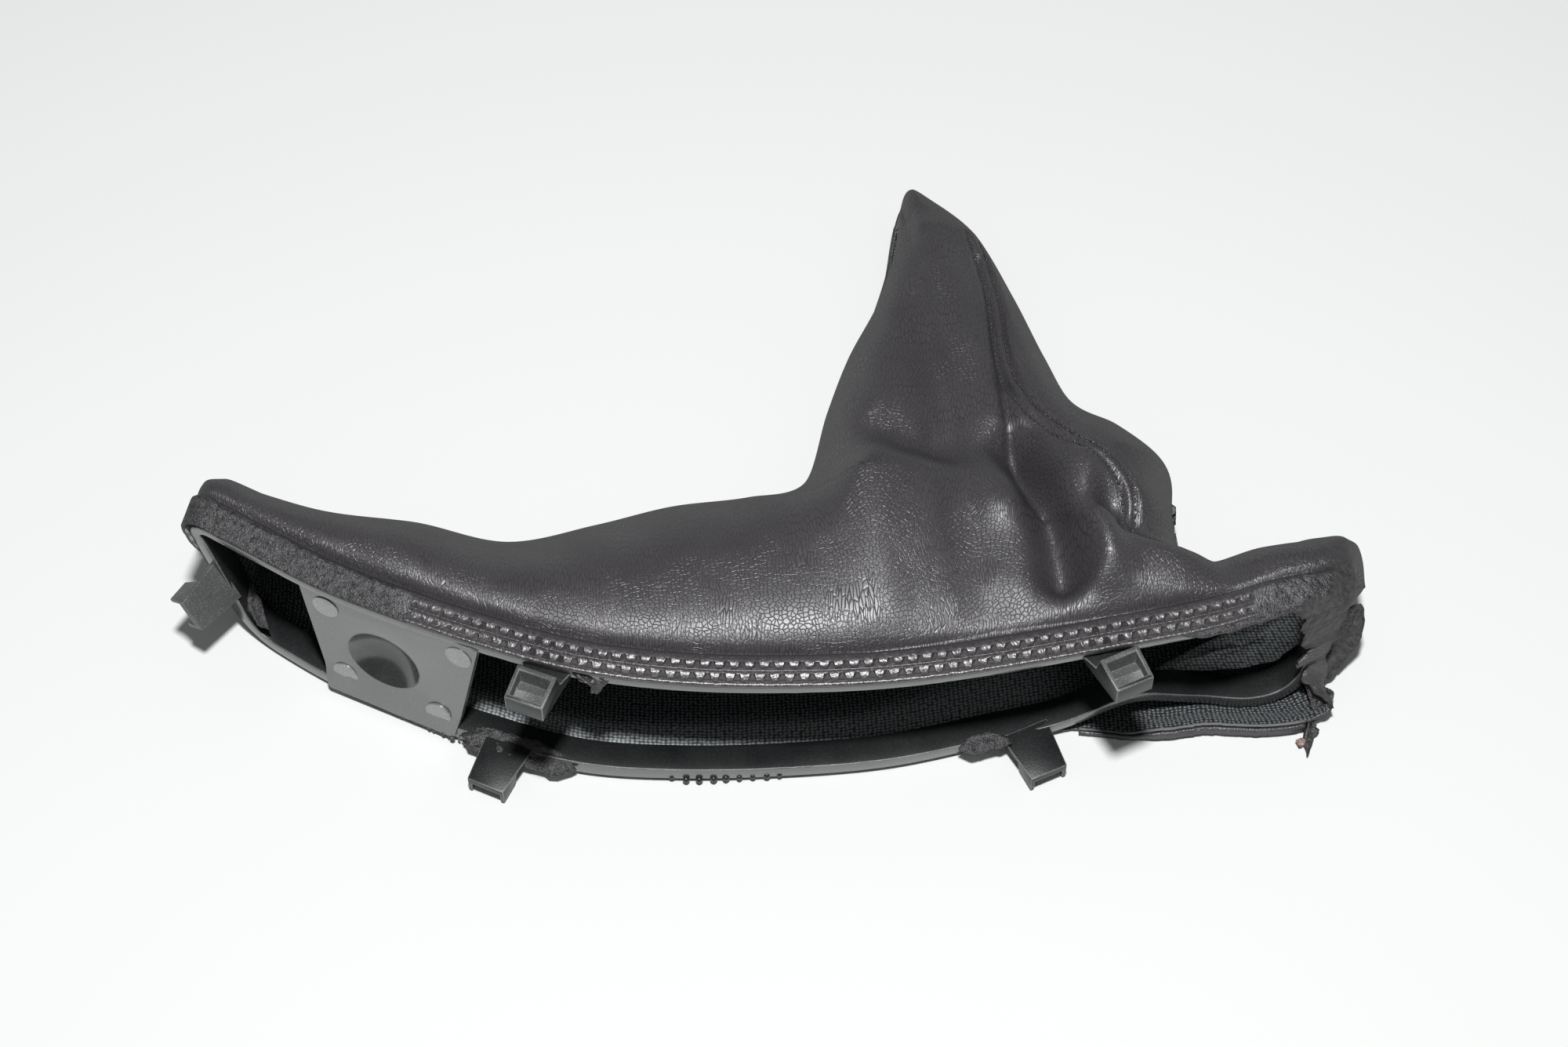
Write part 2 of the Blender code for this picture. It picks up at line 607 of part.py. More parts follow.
def gaiter():
    leather = material("leatherette", (0.045, 0.04, 0.042), 0.55)
    upper, lower = gaiter_grid(False), gaiter_grid(True)
    rows = len(upper[0])
    columns = len(upper)
    verts, index = [], {}

    def vertex(side, c, r):
        shared = c in (0, columns - 1)
        if r == rows - 1 and mouth_gap(c / COLUMNS_PER_STATION) == 0:
            shared = True
        key = (0 if shared else side, c, r)
        if key not in index:
            point = (upper, lower)[side][c][r]
            index[key] = len(verts)
            verts.append(point)
        return index[key]

    faces = []
    for side in (0, 1):
        for c in range(columns - 1):
            for r in range(rows - 1):
                quad = [vertex(side, c, r), vertex(side, c + 1, r),
                        vertex(side, c + 1, r + 1), vertex(side, c, r + 1)]
                if side == 1:
                    quad.reverse()
                if r < rows - 2 or 0 < c < columns - 2:
                    faces.append(quad)
                    continue
                own = quad.index(vertex(side, max(c, 1), r))
                quad = quad[own:] + quad[:own]
                faces += [quad[:3], [quad[0], quad[2], quad[3]]]
    obj = make_object("gaiter", verts, faces, leather)
    shell = obj.modifiers.new("sheet", "SOLIDIFY")
    shell.thickness = SHEET * MM
    shell.offset = -1
    obj.data.shade_smooth()
    return obj


def stand_on_origin(objects):
    """Move the part so that the origin is under its middle, on the table."""
    points = [v.co for obj in objects for v in obj.data.vertices]
    low = Vector([min(p[k] for p in points) for k in range(3)])
    high = Vector([max(p[k] for p in points) for k in range(3)])
    middle = (low + high) / 2
    shift = Matrix.Translation((-middle.x, -middle.y, -low.z))
    for obj in objects:
        obj.data.transform(shift)


def main():
    for obj in list(bpy.data.objects):
        bpy.data.objects.remove(obj)
    stand_on_origin([carrier_frame(), gaiter()])


main()
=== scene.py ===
"""A worn handbrake lever cover on a white table: a moulded plastic carrier frame with
snap clips, and the leatherette gaiter that is welded round its collar.

Sizes are in millimetres and become metres where a mesh is made. The shapes are worked
out in the same drawing as the solids, and PLACE carries that drawing into the part's
own frame. X runs along the frame, +Y from the clips into the gaiter, Z up.
"""
import math

import bmesh
import bpy
import numpy as np
from mathutils import Matrix, Vector, noise
from mathutils.bvhtree import BVHTree


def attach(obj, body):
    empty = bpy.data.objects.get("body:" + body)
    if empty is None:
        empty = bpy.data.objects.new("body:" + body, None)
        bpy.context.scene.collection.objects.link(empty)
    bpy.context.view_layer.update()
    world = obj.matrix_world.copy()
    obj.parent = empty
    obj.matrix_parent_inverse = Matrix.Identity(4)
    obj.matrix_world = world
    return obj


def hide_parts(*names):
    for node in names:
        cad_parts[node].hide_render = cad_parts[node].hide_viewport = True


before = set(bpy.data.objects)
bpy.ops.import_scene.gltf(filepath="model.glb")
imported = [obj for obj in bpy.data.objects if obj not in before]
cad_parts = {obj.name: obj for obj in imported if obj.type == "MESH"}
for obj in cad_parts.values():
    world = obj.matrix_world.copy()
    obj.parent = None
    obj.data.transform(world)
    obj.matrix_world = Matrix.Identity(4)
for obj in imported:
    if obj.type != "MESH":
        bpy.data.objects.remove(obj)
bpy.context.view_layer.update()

# The photograph's view, in metres and degrees, and the light of the scene
VIEW_ELEVATION = 57.0
VIEW_DISTANCE = 0.970
VIEW_AIM_HEIGHT = 0.025
VIEW_FOCAL_LENGTH = 2.132      # in picture widths
SENSOR_WIDTH = 36.0
LAMP_SIZE = 0.12
LAMP_POWER = 16.6
LAMP_SPOT = (0.0, -0.35, 1.31)
ROOM_LIGHT = 0.13

MM = 0.001
PLACE = np.array((2.902, -27.034, 0.0))
noise.seed_set(7)              # so that what is crumpled is the same in every run

# The carrier frame's collar, as in the solids
FRAME_BOTTOM = 2.0
FRAME_HEIGHT = 47.8
FRAME_TOP = FRAME_BOTTOM + FRAME_HEIGHT
FRAME_LEFT_TOP = -170.0
FRAME_LEFT_BOTTOM = -157.0
FRAME_RIGHT = 152.0
COLLAR_DEPTH = 13.0
COLLAR_TURN = 0.5
CORNERS = (
    (FRAME_LEFT_TOP, FRAME_TOP, 6.0),
    (FRAME_RIGHT, FRAME_TOP, 13.0),
    (FRAME_RIGHT, FRAME_BOTTOM, 13.0),
    (FRAME_LEFT_BOTTOM, FRAME_BOTTOM, 12.0),
)
UPPER_RAIL = ((-172, -13), (-150, -26), (-130, -37.5), (-110, -46.5), (-85, -56),
              (-58, -64.3), (-30, -68.5), (0, -69.5), (30, -68), (60, -63.5),
              (90, -57.3), (120, -50.5), (152, -39))
LOWER_RAIL = ((-172, -11), (-150, -28), (-130, -41), (-110, -51.5), (-85, -61.5),
              (-58, -69.5), (-30, -71.6), (0, -70.8), (30, -67.8), (60, -60.8),
              (90, -54), (106, -50), (120, -47.5), (135, -48), (152, -43))

# The gaiter's sheet. A station is a line of the sheet from the collar to the fold: its
# place on the way round the collar, where it ends in plan (x, y), the fold line's
# height, the roof's height there, its swell on the way, the half width of the rounding
# over the fold line and how high the underside lies off the table.
SHEET = 1.2
FIT_GAP = 0.5
CORNER_EASE = 0.9
EDGE_SETBACK = 1.0
LIP_TOP = 4.6
LIP_BOTTOM = 4.2
LIP_STAGGER = 2.2
HEM_REACH = 9.0
HEM_START_X = 78.0
HEM_FULL_X = 112.0
HEM_HEIGHT = 14.0
LOOSE_END_X = 132.0
LOOSE_END_OUT = 8.0
LOOSE_END_FORWARD = 4.5
CUT_RAGGED = 0.35              # how uneven the cut edge is
TORN_RAGGED = 2.2              # how much more uneven it is where it has torn
PLEAT_DEPTH = 1.5
STATIONS = (
    (-171, -171.0, -1.5, 27, 33, 0, 12, 20),
    (-161, -170.5, 3.5, 26, 38, 0, 14, 15),
    (-154, -164.5, 6.0, 24, 40, 1, 19, 8),
    (-146, -156.0, 8.0, 24, 40, 2, 22, 5),
    (-125, -132.0, 2.0, 22, 40, 4, 30, 1),
    (-100, -106.0, 0.5, 21, 38, 7, 36, 0),
    (-75, -80.0, -5.0, 20, 36, 6, 38, 0),
    (-50, -55.0, -0.3, 21, 40, 6, 40, 0),
    (-27, -33.0, 5.0, 22, 44, 6, 42, 0),
    (-4, -11.0, 7.5, 22, 47, 6, 42, 0),
    (14, 5.0, 12.5, 22, 47, 6, 38, 0),
    (25, 12.5, 40.0, 20, 44, 8, 26, 0),
    (33, 19.0, 62.0, 17, 38, 8, 22, 0),
    (40, 27.5, 83.0, 14, 30, 8, 15, 0),
    (45, 34.0, 104.0, 12, 24, 6, 11, 0),
    (49, 36.5, 125.5, 12, 19, 5, 9, 0),
    (53, 39.3, 132.5, 12, 18, 5, 9, 0),
    (57, 45.4, 129.5, 12, 18, 5, 10, 0),
    (62, 60.0, 112.5, 13, 24, 5, 12, 0),
    (68, 71.0, 86.0, 14, 31, 6, 17, 0),
    (75, 79.5, 61.0, 16, 37, 7, 22, 0),
    (82, 87.5, 42.0, 17, 40, 7, 24, 0),
    (89, 100.6, 33.0, 18, 40, 7, 22, 0),
    (96, 113.2, 18.5, 19, 40, 6, 20, 0),
    (102, 113.2, 2.0, 19, 37, 4, 16, 0),
    (110, 117.8, -14.5, 20, 36, 1, 14, 0),
    (122, 135.0, -13.0, 24, 42, 1, 16, 0),
    (135, 153.0, -10.5, 25, 42, 1, 18, 0),
    (145, 165.0, -13.0, 25, 40, 1, 18, 0),
    (152, 166.5, -22.5, 26, 35, 1, 14, 0),
)
MOUTH_FIRST = 13
MOUTH_LAST = 15
END_STATIONS = 1.3
UNDERSIDE_ROUNDING = 0.8
STRAIGHT_RUN = 0.35
FOLDS_START = 0.12
MOUTH_FULLNESS = 0.6

# Folds of the sheet's upper side: a run in plan, how much it lifts the sheet and its
# half width on the left and on the right of the run
FOLDS = (
    (((66, 14), (72, -5), (76, -24), (77.5, -36)), -11.0, 6.0, 6.5),
    (((84, 4), (86, -12), (88, -24), (92, -33)), 3.5, 5.5, 6.0),
    (((92, -10), (100, -16), (112, -14), (122, -8)), -9.0, 7.0, 7.0),
    (((44, 108), (50, 74), (56, 42), (60, 12), (61, -12)), 4.0, 8.0, 8.0),
    (((58, 102), (62, 72), (65, 42)), -2.5, 5.5, 5.5),
    (((30, 16), (40, 13)), -4.5, 8.0, 8.0),
    (((32, -3), (47, -3), (63, -9)), 8.5, 11.0, 32.0),
    (((25, 2), (29.2, 11.7), (37.3, 18.4)), 2.0, 5.0, 6.0),
    (((59.6, 98.5), (62.6, 76), (63.5, 56), (64.3, 30.5), (66.2, 12), (70, -6)), -2.4, 2.6, 1.6),
    (((88.4, -12), (89.5, -28), (88, -38)), 2.0, 4.0, 4.0),
)
SEAM = ((58.2, 108.2), (60.4, 99.0), (63.3, 76.2), (64.1, 58.1), (66.1, 42.7),
        (70.6, 28.8), (76.4, 20.2), (82.1, 13.7), (88.1, 9.1), (93.4, 3.6),
        (97.0, -3.0), (97.6, -11.9), (94.8, -22.0))
SEAM_GAP = 1.75                # from the seam's middle to each row of stitches
STITCH_PITCH = 1.9

BULGE = 6.2                    # the sheet's roll behind the collar
BULGE_RUN = 14.0
BULGE_FADE = 30.0
BULGE_CREASE = 1.5
BAND_DEPTH = 9.8
BAND_SETBACK = -0.6            # the welded edge stands a little proud of the frame
TORN_SETBACK = 1.9             # how much further it hangs over where it has torn
TORN_FROM_X = (108.0, 118.0)
HEM_SPREAD = 7.0
HEM_RISE = 3.6                 # how high the hem's edge stands off the table
HEM_SHOWN = (84, 150)
HEM_BELOW = 12
BAND_TILT = 2.4                # how much higher the welded band is at its back
LOOSE_END_CURL = 1.45          # how far the torn end curls in over the frame

# The weld knurl on the collar band: two rows of pyramids
KNURL_FROM_X = -104.0
KNURL_TO_X = 131.0
KNURL_PITCH = 4.1
KNURL_ROWS = (0.5, 3.7)        # how far each row's front is behind the frame's edge
KNURL_SKEW = 1.2               # the rows are out of step by this much
KNURL_SIZE = (3.3, 2.9, 2.2)

COLUMNS = 380
UPPER_ROWS = 84
LOWER_ROWS = 28
COLLAR_ROWS = 12

# The carrier frame
COLLAR_WALL = 2.4
RING_DEPTH = 9.6               # how far back the ring's bare inner wall shows
UPPER_RIM = 3.0
LOWER_RIM = 4.6
RIM_BLEND = 0.4
RIM_ROUND = 0.35
SPRUNG_X = 99.0
SPRUNG_LIFT = 8.5
SPRUNG_WIDTH = 15.0
SPRUNG_HEIGHT = 6.0
PLATE_CENTRE_X = -112.0
PLATE_TOP = (-137.0, -85.5)
PLATE_BOTTOM = (-130.0, -93.0)
PLATE_THICKNESS = 2.5
PLATE_SETBACK = 1.3
DIMPLE_DIAMETER = 22.5
DIMPLE_DEPTH = 6.0
DIMPLE_OFFSET = (-1.6, -1.2)
EJECTOR_DIAMETER = 8.0
EJECTOR_MARKS = ((-19.0, 14.5), (23.0, 16.0), (-14.5, -14.5), (15.5, -15.5))
CLIP_LENGTH = 14.5
CLIP_WIDTH = 12.0
CLIP_PLATE = 2.0
CLIP_ROOT = 1.5                # how far it starts inside the rail
CLIP_TAPER = 0.06
CLIP_EDGE = 0.32
CLIP_HOOKS = {"upper": (8.0, 6.6), "lower": (6.6, 6.3)}   # at the step and at the tip
CLIP_STEPS = {"upper": (3.0, 4.4), "lower": (6.0, 7.6)}
CLIP_WALL = 1.3
CLIP_FLARE = 0.22              # how much wider the clip is at its root
CLIP_PROUD = 0.3
CLIPS = (
    (-65.5, "upper", 21.0),
    (89.5, "upper", -25.0),
    (-78.5, "lower", 24.0),
    (69.0, "lower", -25.0),
)
END_CLIP_INSET = 3.4
END_CLIP_HEIGHT = 25.5
END_CLIP_YAW = 36.0
END_CLIP_TILT = 60.0

# The knit that stands up inside the right end
INNER_FOLD = ((106, -38.5, 6.5), (120, -38.5, 6.5), (132, -38.2, 7), (142, -36.5, 9),
              (149, -33, 14), (151, -27, 27), (142, -26, 23), (132, -28.5, 16), (118, -33, 9.5))
# Torn and loose bits of the sheet, each a border in 3-D and how crumpled it is
SCRAPS = (
    # the flap that hangs over the right end
    (((152.2, -33.8, 27.0), (155.9, -32.6, 28.0), (161.1, -30.7, 27.0), (165.7, -27.3, 24.0),
      (166.7, -29.6, 20.0), (166.0, -32.6, 15.0), (164.5, -34.2, 12.0), (161.2, -36.8, 8.0),
      (158.5, -39.5, 5.0), (155.7, -41.5, 4.0), (153.5, -38.7, 9.0), (152.5, -35.7, 15.0),
      (152.3, -34.1, 21.0)), 0.9),
    # the curled tip under it, with the strand that hangs from it
    (((149.5, -43.4, 9.0), (151.5, -45.5, 9.0), (153.7, -45.0, 10.0), (155.0, -46.5, 9.0),
      (158.0, -46.4, 7.0), (157.3, -48.2, 6.0), (155.3, -48.2, 6.0), (154.0, -50.1, 4.0),
      (152.2, -52.2, 3.0), (151.3, -49.4, 5.0), (150.3, -46.7, 7.0)), 0.8),
    (((152.2, -50.1, 4.0), (152.7, -54.7, 3.0), (151.5, -59.3, 2.0), (149.6, -64.2, 1.8),
      (148.8, -60.9, 2.5), (150.0, -56.3, 3.5)), 0.6),
    # the tab to the right of the upper left clip
    (((-58.5, -63.8, 50.4), (-54.3, -66.5, 49.6), (-52.6, -67.4, 46.0), (-51.4, -67.6, 42.8),
      (-49.6, -67.2, 46.0), (-46.4, -65.8, 50.2), (-52.0, -64.0, 50.6)), 0.7),
    # what is left of the hem at the lower left clip
    (((-92.0, -59.6, 7.0), (-86.5, -57.4, 7.4), (-78.2, -59.8, 7.6), (-69.2, -62.1, 7.4),
      (-62.3, -66.5, 6.6), (-58.8, -70.5, 5.4), (-64.2, -72.3, 4.6), (-72.4, -69.8, 6.0),
      (-80.0, -68.0, 6.6), (-90.1, -63.4, 6.4)), 0.8),
    (((49.4, -65.2, 8.2), (52.4, -61.4, 8.6), (58.5, -60.4, 9.0), (63.5, -61.7, 9.0),
      (64.6, -64.0, 8.6), (58.3, -65.5, 8.0), (53.3, -67.0, 7.4)), 0.6),
    (((96.7, -50.0, 46.0), (101.7, -49.0, 48.4), (109.0, -46.6, 49.8), (113.5, -45.0, 50.0),
      (111.0, -46.8, 47.0), (104.2, -49.8, 45.6), (99.1, -51.0, 45.0)), 0.3),
    # the piece that shows in the small opening at the left
    (((-160.5, -15.8, 14.0), (-156.8, -13.6, 15.0), (-154.0, -14.2, 15.0), (-151.8, -19.3, 14.5),
      (-148.5, -28.6, 13.0), (-151.5, -27.2, 12.0), (-155.4, -21.9, 12.5), (-159.1, -18.5, 13.0)),
     0.5),
)
GLUE = ((140.8, -41.0, 46.5), (142.3, -40.5, 47.5), (144.0, -40.1, 48.3), (146.0, -40.3, 47.9),
        (145.9, -41.1, 45.7), (144.3, -41.4, 44.7), (142.5, -41.1, 45.3))
GLUE_LOW = ((146.3, -59.3, 2.6), (147.6, -58.9, 3.0), (149.3, -59.6, 3.0), (148.9, -60.7, 2.2),
            (146.9, -60.6, 2.0))
CRUMBS_RUN = ((-151.0, -23.7, 2.6), (-141.2, -32.2, 2.6), (-131.6, -39.1, 2.6),
              (-122.1, -44.4, 2.6), (-112.8, -49.3, 2.6), (-103.5, -54.0, 2.6),
              (-96.5, -57.4, 2.8), (-88.0, -61.8, 3.2), (-80.0, -65.5, 3.4))
BEADS = ((-31.9, -70.9, 2.5), (-27.8, -72.0, 2.3), (-24.1, -72.0, 2.3), (-20.0, -71.8, 2.5),
         (-16.5, -71.5, 2.5), (-12.7, -71.3, 2.5), (-8.9, -71.0, 2.5), (-4.9, -70.7, 2.6),
         (-1.3, -70.3, 2.7))


def spline(points, x):
    """A smooth curve through (x, y) points, read at x."""
    last = len(points) - 1
    if x <= points[0][0]:
        (xa, ya), (xb, yb) = points[0], points[1]
        return ya + (x - xa) * (yb - ya) / (xb - xa)
    if x >= points[last][0]:
        (xa, ya), (xb, yb) = points[last - 1], points[last]
        return yb + (x - xb) * (yb - ya) / (xb - xa)
    i = max(k for k in range(last) if points[k][0] <= x)

    def slope(k):
        a = points[max(k - 1, 0)]
        b = points[min(k + 1, last)]
        return (b[1] - a[1]) / (b[0] - a[0])

    (xa, ya), (xb, yb) = points[i], points[i + 1]
    h = xb - xa
    t = (x - xa) / h
    return ((2 * t ** 3 - 3 * t ** 2 + 1) * ya + (t ** 3 - 2 * t ** 2 + t) * h * slope(i)
            + (3 * t ** 2 - 2 * t ** 3) * yb + (t ** 3 - t ** 2) * h * slope(i + 1))


def smooth(a, b, x):
    """0 below a, 1 above b, and an even S between them."""
    t = np.clip((x - a) / (b - a), 0.0, 1.0)
    return t * t * (3 - 2 * t)


def front_y(x, z):
    """The frame's front edge: the two rails' plan curves, blended over the height."""
    up = min(max((z - FRAME_BOTTOM) / FRAME_HEIGHT, 0.0), 1.0)
    return spline(LOWER_RAIL, x) * (1 - up) + spline(UPPER_RAIL, x) * up


def inward(x):
    """Unit vector in plan, along the collar's walls, into the gaiter."""
    mid = FRAME_BOTTOM + FRAME_HEIGHT / 2
    dy = COLLAR_TURN * (front_y(x + 2, mid) - front_y(x - 2, mid)) / 4
    length = math.hypot(1, dy)
    return -dy / length, 1 / length


def frame_outline(grow=0.0, ease=0.0, steps=16):
    """The collar's outside, as (x, z) points from the middle of its left end, up and
    round clockwise as seen from the front. grow sets it outwards, ease its corners."""
    points = []
    count = len(CORNERS)
    for i, (x, z, radius) in enumerate(CORNERS):
        corner = Vector((x, z))
        before = (Vector(CORNERS[i - 1][:2]) - corner).normalized()
        after = (Vector(CORNERS[(i + 1) % count][:2]) - corner).normalized()
        half = before.angle(after) / 2
        run = radius / math.tan(half)
        centre = corner + (before + after).normalized() * (radius / math.sin(half))
        start = corner + before * run - centre
        turn = math.pi - 2 * half
        for k in range(steps + 1):
            a = -turn * k / steps
            spoke = Vector((start.x * math.cos(a) - start.y * math.sin(a),
                            start.x * math.sin(a) + start.y * math.cos(a)))
            bow = grow + ease * math.sin(math.pi * k / steps)
            points.append(centre + spoke * ((radius + bow) / radius))
    left = Vector((FRAME_LEFT_TOP + FRAME_LEFT_BOTTOM, FRAME_TOP + FRAME_BOTTOM)) / 2
    slant = Vector((FRAME_HEIGHT, FRAME_LEFT_TOP - FRAME_LEFT_BOTTOM)).normalized()
    start = left - slant * grow
    return [(start.x, start.y)] + [(p.x, p.y) for p in points]


def station(i, field):
    """A value of the gaiter's station table, read smoothly between its lines."""
    table = [(k, row[field]) for k, row in enumerate(STATIONS)]
    return spline(table, i)


def rail_half(lower):
    """The leather's outside round the collar, from the middle of the left end to the
    middle of the right end, over the upper or under the lower rail."""
    outline = frame_outline(FIT_GAP + SHEET, CORNER_EASE)
    middle = FRAME_BOTTOM + FRAME_HEIGHT / 2
    split = next(k for k in range(1, len(outline))
                 if outline[k][0] > 0 and outline[k + 1][1] < middle)
    right = ((outline[split][0] + outline[split + 1][0]) / 2, middle)
    if lower:
        return [outline[0]] + outline[:split:-1] + [right]
    return outline[:split + 1] + [right]


def lengths_along(points):
    """How far it is along a run of points to each of them."""
    steps = np.linalg.norm(np.diff(points, axis=0), axis=1)
    return np.concatenate(([0], np.cumsum(steps)))


def start_points(half, places):
    """Where the lines leave the collar, at their shares of the length round it."""
    points = np.array(half)
    lengths = lengths_along(points)
    first, end = STATIONS[0][0], STATIONS[-1][0]
    along = [(station(i, 0) - first) / (end - first) * lengths[-1] for i in places]
    return np.interp(along, lengths, points[:, 0]), np.interp(along, lengths, points[:, 1])


def plan_distance(points, run):
    """Distance in plan from each point to a run, and its side: positive on the left."""
    points = np.asarray(points, float)
    best = np.full(len(points), 1e9)
    side = np.ones(len(points))
    for (xa, ya), (xb, yb) in zip(run, run[1:]):
        dx, dy = xb - xa, yb - ya
        rx, ry = points[:, 0] - xa, points[:, 1] - ya
        t = np.clip((rx * dx + ry * dy) / (dx * dx + dy * dy), 0, 1)
        d = np.hypot(rx - dx * t, ry - dy * t)
        nearer = d < best
        side = np.where(nearer, np.sign(dx * ry - dy * rx), side)
        best = np.where(nearer, d, best)
    return best, side


def curve_through(run, step):
    """A run's corners rounded off, as points about step apart."""
    tables = [[(k, p[axis]) for k, p in enumerate(run)] for axis in (0, 1)]
    fine = np.array([[spline(table, k) for table in tables]
                     for k in np.linspace(0, len(run) - 1, 20 * len(run))])
    lengths = lengths_along(fine)
    count = max(2, round(lengths[-1] / step))
    at = np.linspace(0, lengths[-1], count + 1)
    return np.stack((np.interp(at, lengths, fine[:, 0]), np.interp(at, lengths, fine[:, 1])), 1)


FOLD_CURVES = [(curve_through(run, 3.0), *shape) for run, *shape in FOLDS]
SEAM_CURVE = curve_through(SEAM, 1.5)


def hump(d, centre, width):
    """1 at a distance of centre, dying away over the width on both sides of it."""
    return np.exp(-((d - centre) / width) ** 2)


def fold_lift(points):
    """How far the folds raise or lower the sheet at points in plan."""
    lift = np.zeros(len(points))
    for curve, height, left, right in FOLD_CURVES:
        d, side = plan_distance(points, curve)
        lift += height * hump(d, 0, np.where(side > 0, left, right))
    return lift


def seam_lift(points):
    """The raised welt of the seam, a groove for each row of stitches and a low shoulder."""
    d, _ = plan_distance(points, SEAM_CURVE)
    return hump(d, 0, 1.1) - hump(d, SEAM_GAP, 0.55) + 0.35 * hump(d, 3.2, 1.3)


def mouth_gap(i):
    """1 where the sleeve's mouth is open, 0 where the fold line is closed."""
    if i <= MOUTH_FIRST or i >= MOUTH_LAST:
        return 0.0
    return math.sin(math.pi * (i - MOUTH_FIRST) / (MOUTH_LAST - MOUTH_FIRST)) ** MOUTH_FULLNESS


def ragged(place, seed, size):
    """An uneven offset along an edge, for a cut or torn border."""
    here = Vector((place * 0.22, seed, 0.0))
    return size * (noise.noise(here) + 0.6 * noise.noise(here * 3.7))


def band_rise(depth):
    """How much the welded band rises over its depth, up to the crease behind it."""
    rise = np.clip((np.asarray(depth, float) + 0.6) / 7.6, 0, 1)
    return BAND_TILT * rise * (1 - smooth(7.0, BAND_DEPTH, depth))


def collar_line(x, z, lower, from_end, loose):
    """The sheet on its way in over the collar from the edge at (x, z), its wear and the
    direction it takes. from_end is 1 away from the ends, loose 1 at the torn one."""
    nx, ny = inward(x)
    high = float(smooth(4.0, 34.0, z))
    reach = LOOSE_END_FORWARD * loose
    pleat = loose * PLEAT_DEPTH * math.sin(z * 0.62 + 1.0) * math.sin(z * 0.17)
    flare = LOOSE_END_OUT * loose * (0.25 + 0.75 * high) + pleat
    low, welded = 0.0, 0.0
    if lower:
        low = 1 - smooth(FRAME_BOTTOM, FRAME_BOTTOM + HEM_HEIGHT, z)
        reach = reach * (1 - low) + HEM_REACH * smooth(HEM_START_X, HEM_FULL_X, x) * low
    else:
        welded = float(smooth(0, 1, from_end))
        reach += TORN_SETBACK * float(smooth(*TORN_FROM_X, x)) * (1 - loose)
    first = EDGE_SETBACK + (BAND_SETBACK - EDGE_SETBACK) * welded
    deep = COLLAR_DEPTH + (BAND_DEPTH - COLLAR_DEPTH) * welded
    edge = first - reach + ragged(x + z, 3.0, CUT_RAGGED + TORN_RAGGED * loose)
    share = np.linspace(0, 1, COLLAR_ROWS)
    depth = edge + (deep + first - edge) * share
    curl = LOOSE_END_CURL * loose * (1 - low)
    spread = flare * share ** 0.7 - np.maximum(EDGE_SETBACK - depth, 0) * curl
    height = z + band_rise(depth) * welded * (1 - loose)
    if lower:
        height = height + (HEM_RISE * low * smooth(96, 108, x)
                           * (1 - smooth(edge, edge + 6, depth)))
        spread = spread + (HEM_SPREAD * low * smooth(122, 144, x)
                           * (1 - smooth(edge, edge + 14, depth)))
    line = np.stack((x + nx * depth + spread, front_y(x, z) + ny * depth, height + 0 * depth), 1)
    bare = max(1 - smooth(KNURL_FROM_X - 6, KNURL_FROM_X + 4, x),
               smooth(KNURL_TO_X - 2, KNURL_TO_X + 8, x))
    worn = np.maximum((1 - smooth(7.0, 9.5, depth)) * bare, 1 - smooth(1.6, 2.4, depth))
    return line, worn, (nx, ny)


def sleeve_line(start, z, heading, i, end, outline, lower, rows, opened):
    """The sheet from the collar's back edge to its fold, at place i of the station table,
    and its share t of the way at each point. opened is 0 at the sheet's two ends."""
    (ax, ay), (nx, ny), (bx, by) = start, heading, end
    zf, shoulder, swell, radius, floor = (station(i, f) for f in range(3, 8))
    gap = mouth_gap(i)
    zf_end = zf + LIP_TOP * gap
    if lower:
        zf_end = zf - LIP_BOTTOM * gap
        bx -= LIP_STAGGER * gap
    run = math.hypot(bx - ax, by - ay)
    radius = min(radius, plan_distance([(ax, ay)], outline)[0][0])
    share = np.arange(1, rows + 1) / rows
    t = np.sin(math.pi / 2 * share ** (1.0 if lower else 1.25))
    cx, cy = ax + nx * run * STRAIGHT_RUN, ay + ny * run * STRAIGHT_RUN
    px = (1 - t) ** 2 * ax + 2 * t * (1 - t) * cx + t * t * bx
    py = (1 - t) ** 2 * ay + 2 * t * (1 - t) * cy + t * t * by
    plan = np.stack((px, py), 1)
    d = plan_distance(plan, outline)[0]
    d[-1] = 0.0
    e = np.minimum(d / (radius * (UNDERSIDE_ROUNDING if lower else 1.0)), 1.0)
    round_over = np.sqrt(np.maximum(1 - (1 - e) ** 2, 0))
    if lower:
        roof = floor + (z - floor) * (1 - t) ** 3
    else:
        roof = z * (1 - t) + shoulder * t + swell * 4 * t * (1 - t)
        roof += fold_lift(plan) * smooth(0.0, FOLDS_START, t)
        roof += seam_lift(plan)
        behind = np.hypot(px - ax, py - ay)
        roll = BULGE * (1 - np.exp(-behind / BULGE_RUN)) * np.exp(-behind / BULGE_FADE)
        roof += (roll - BULGE_CREASE * hump(behind, 0, 1.6)) * opened
    middle = z + (zf - z) * t
    height = np.maximum(middle + (zf_end + (roof - zf_end) * round_over - middle) * opened, 0.0)
    return np.stack((px, py, height), 1), t


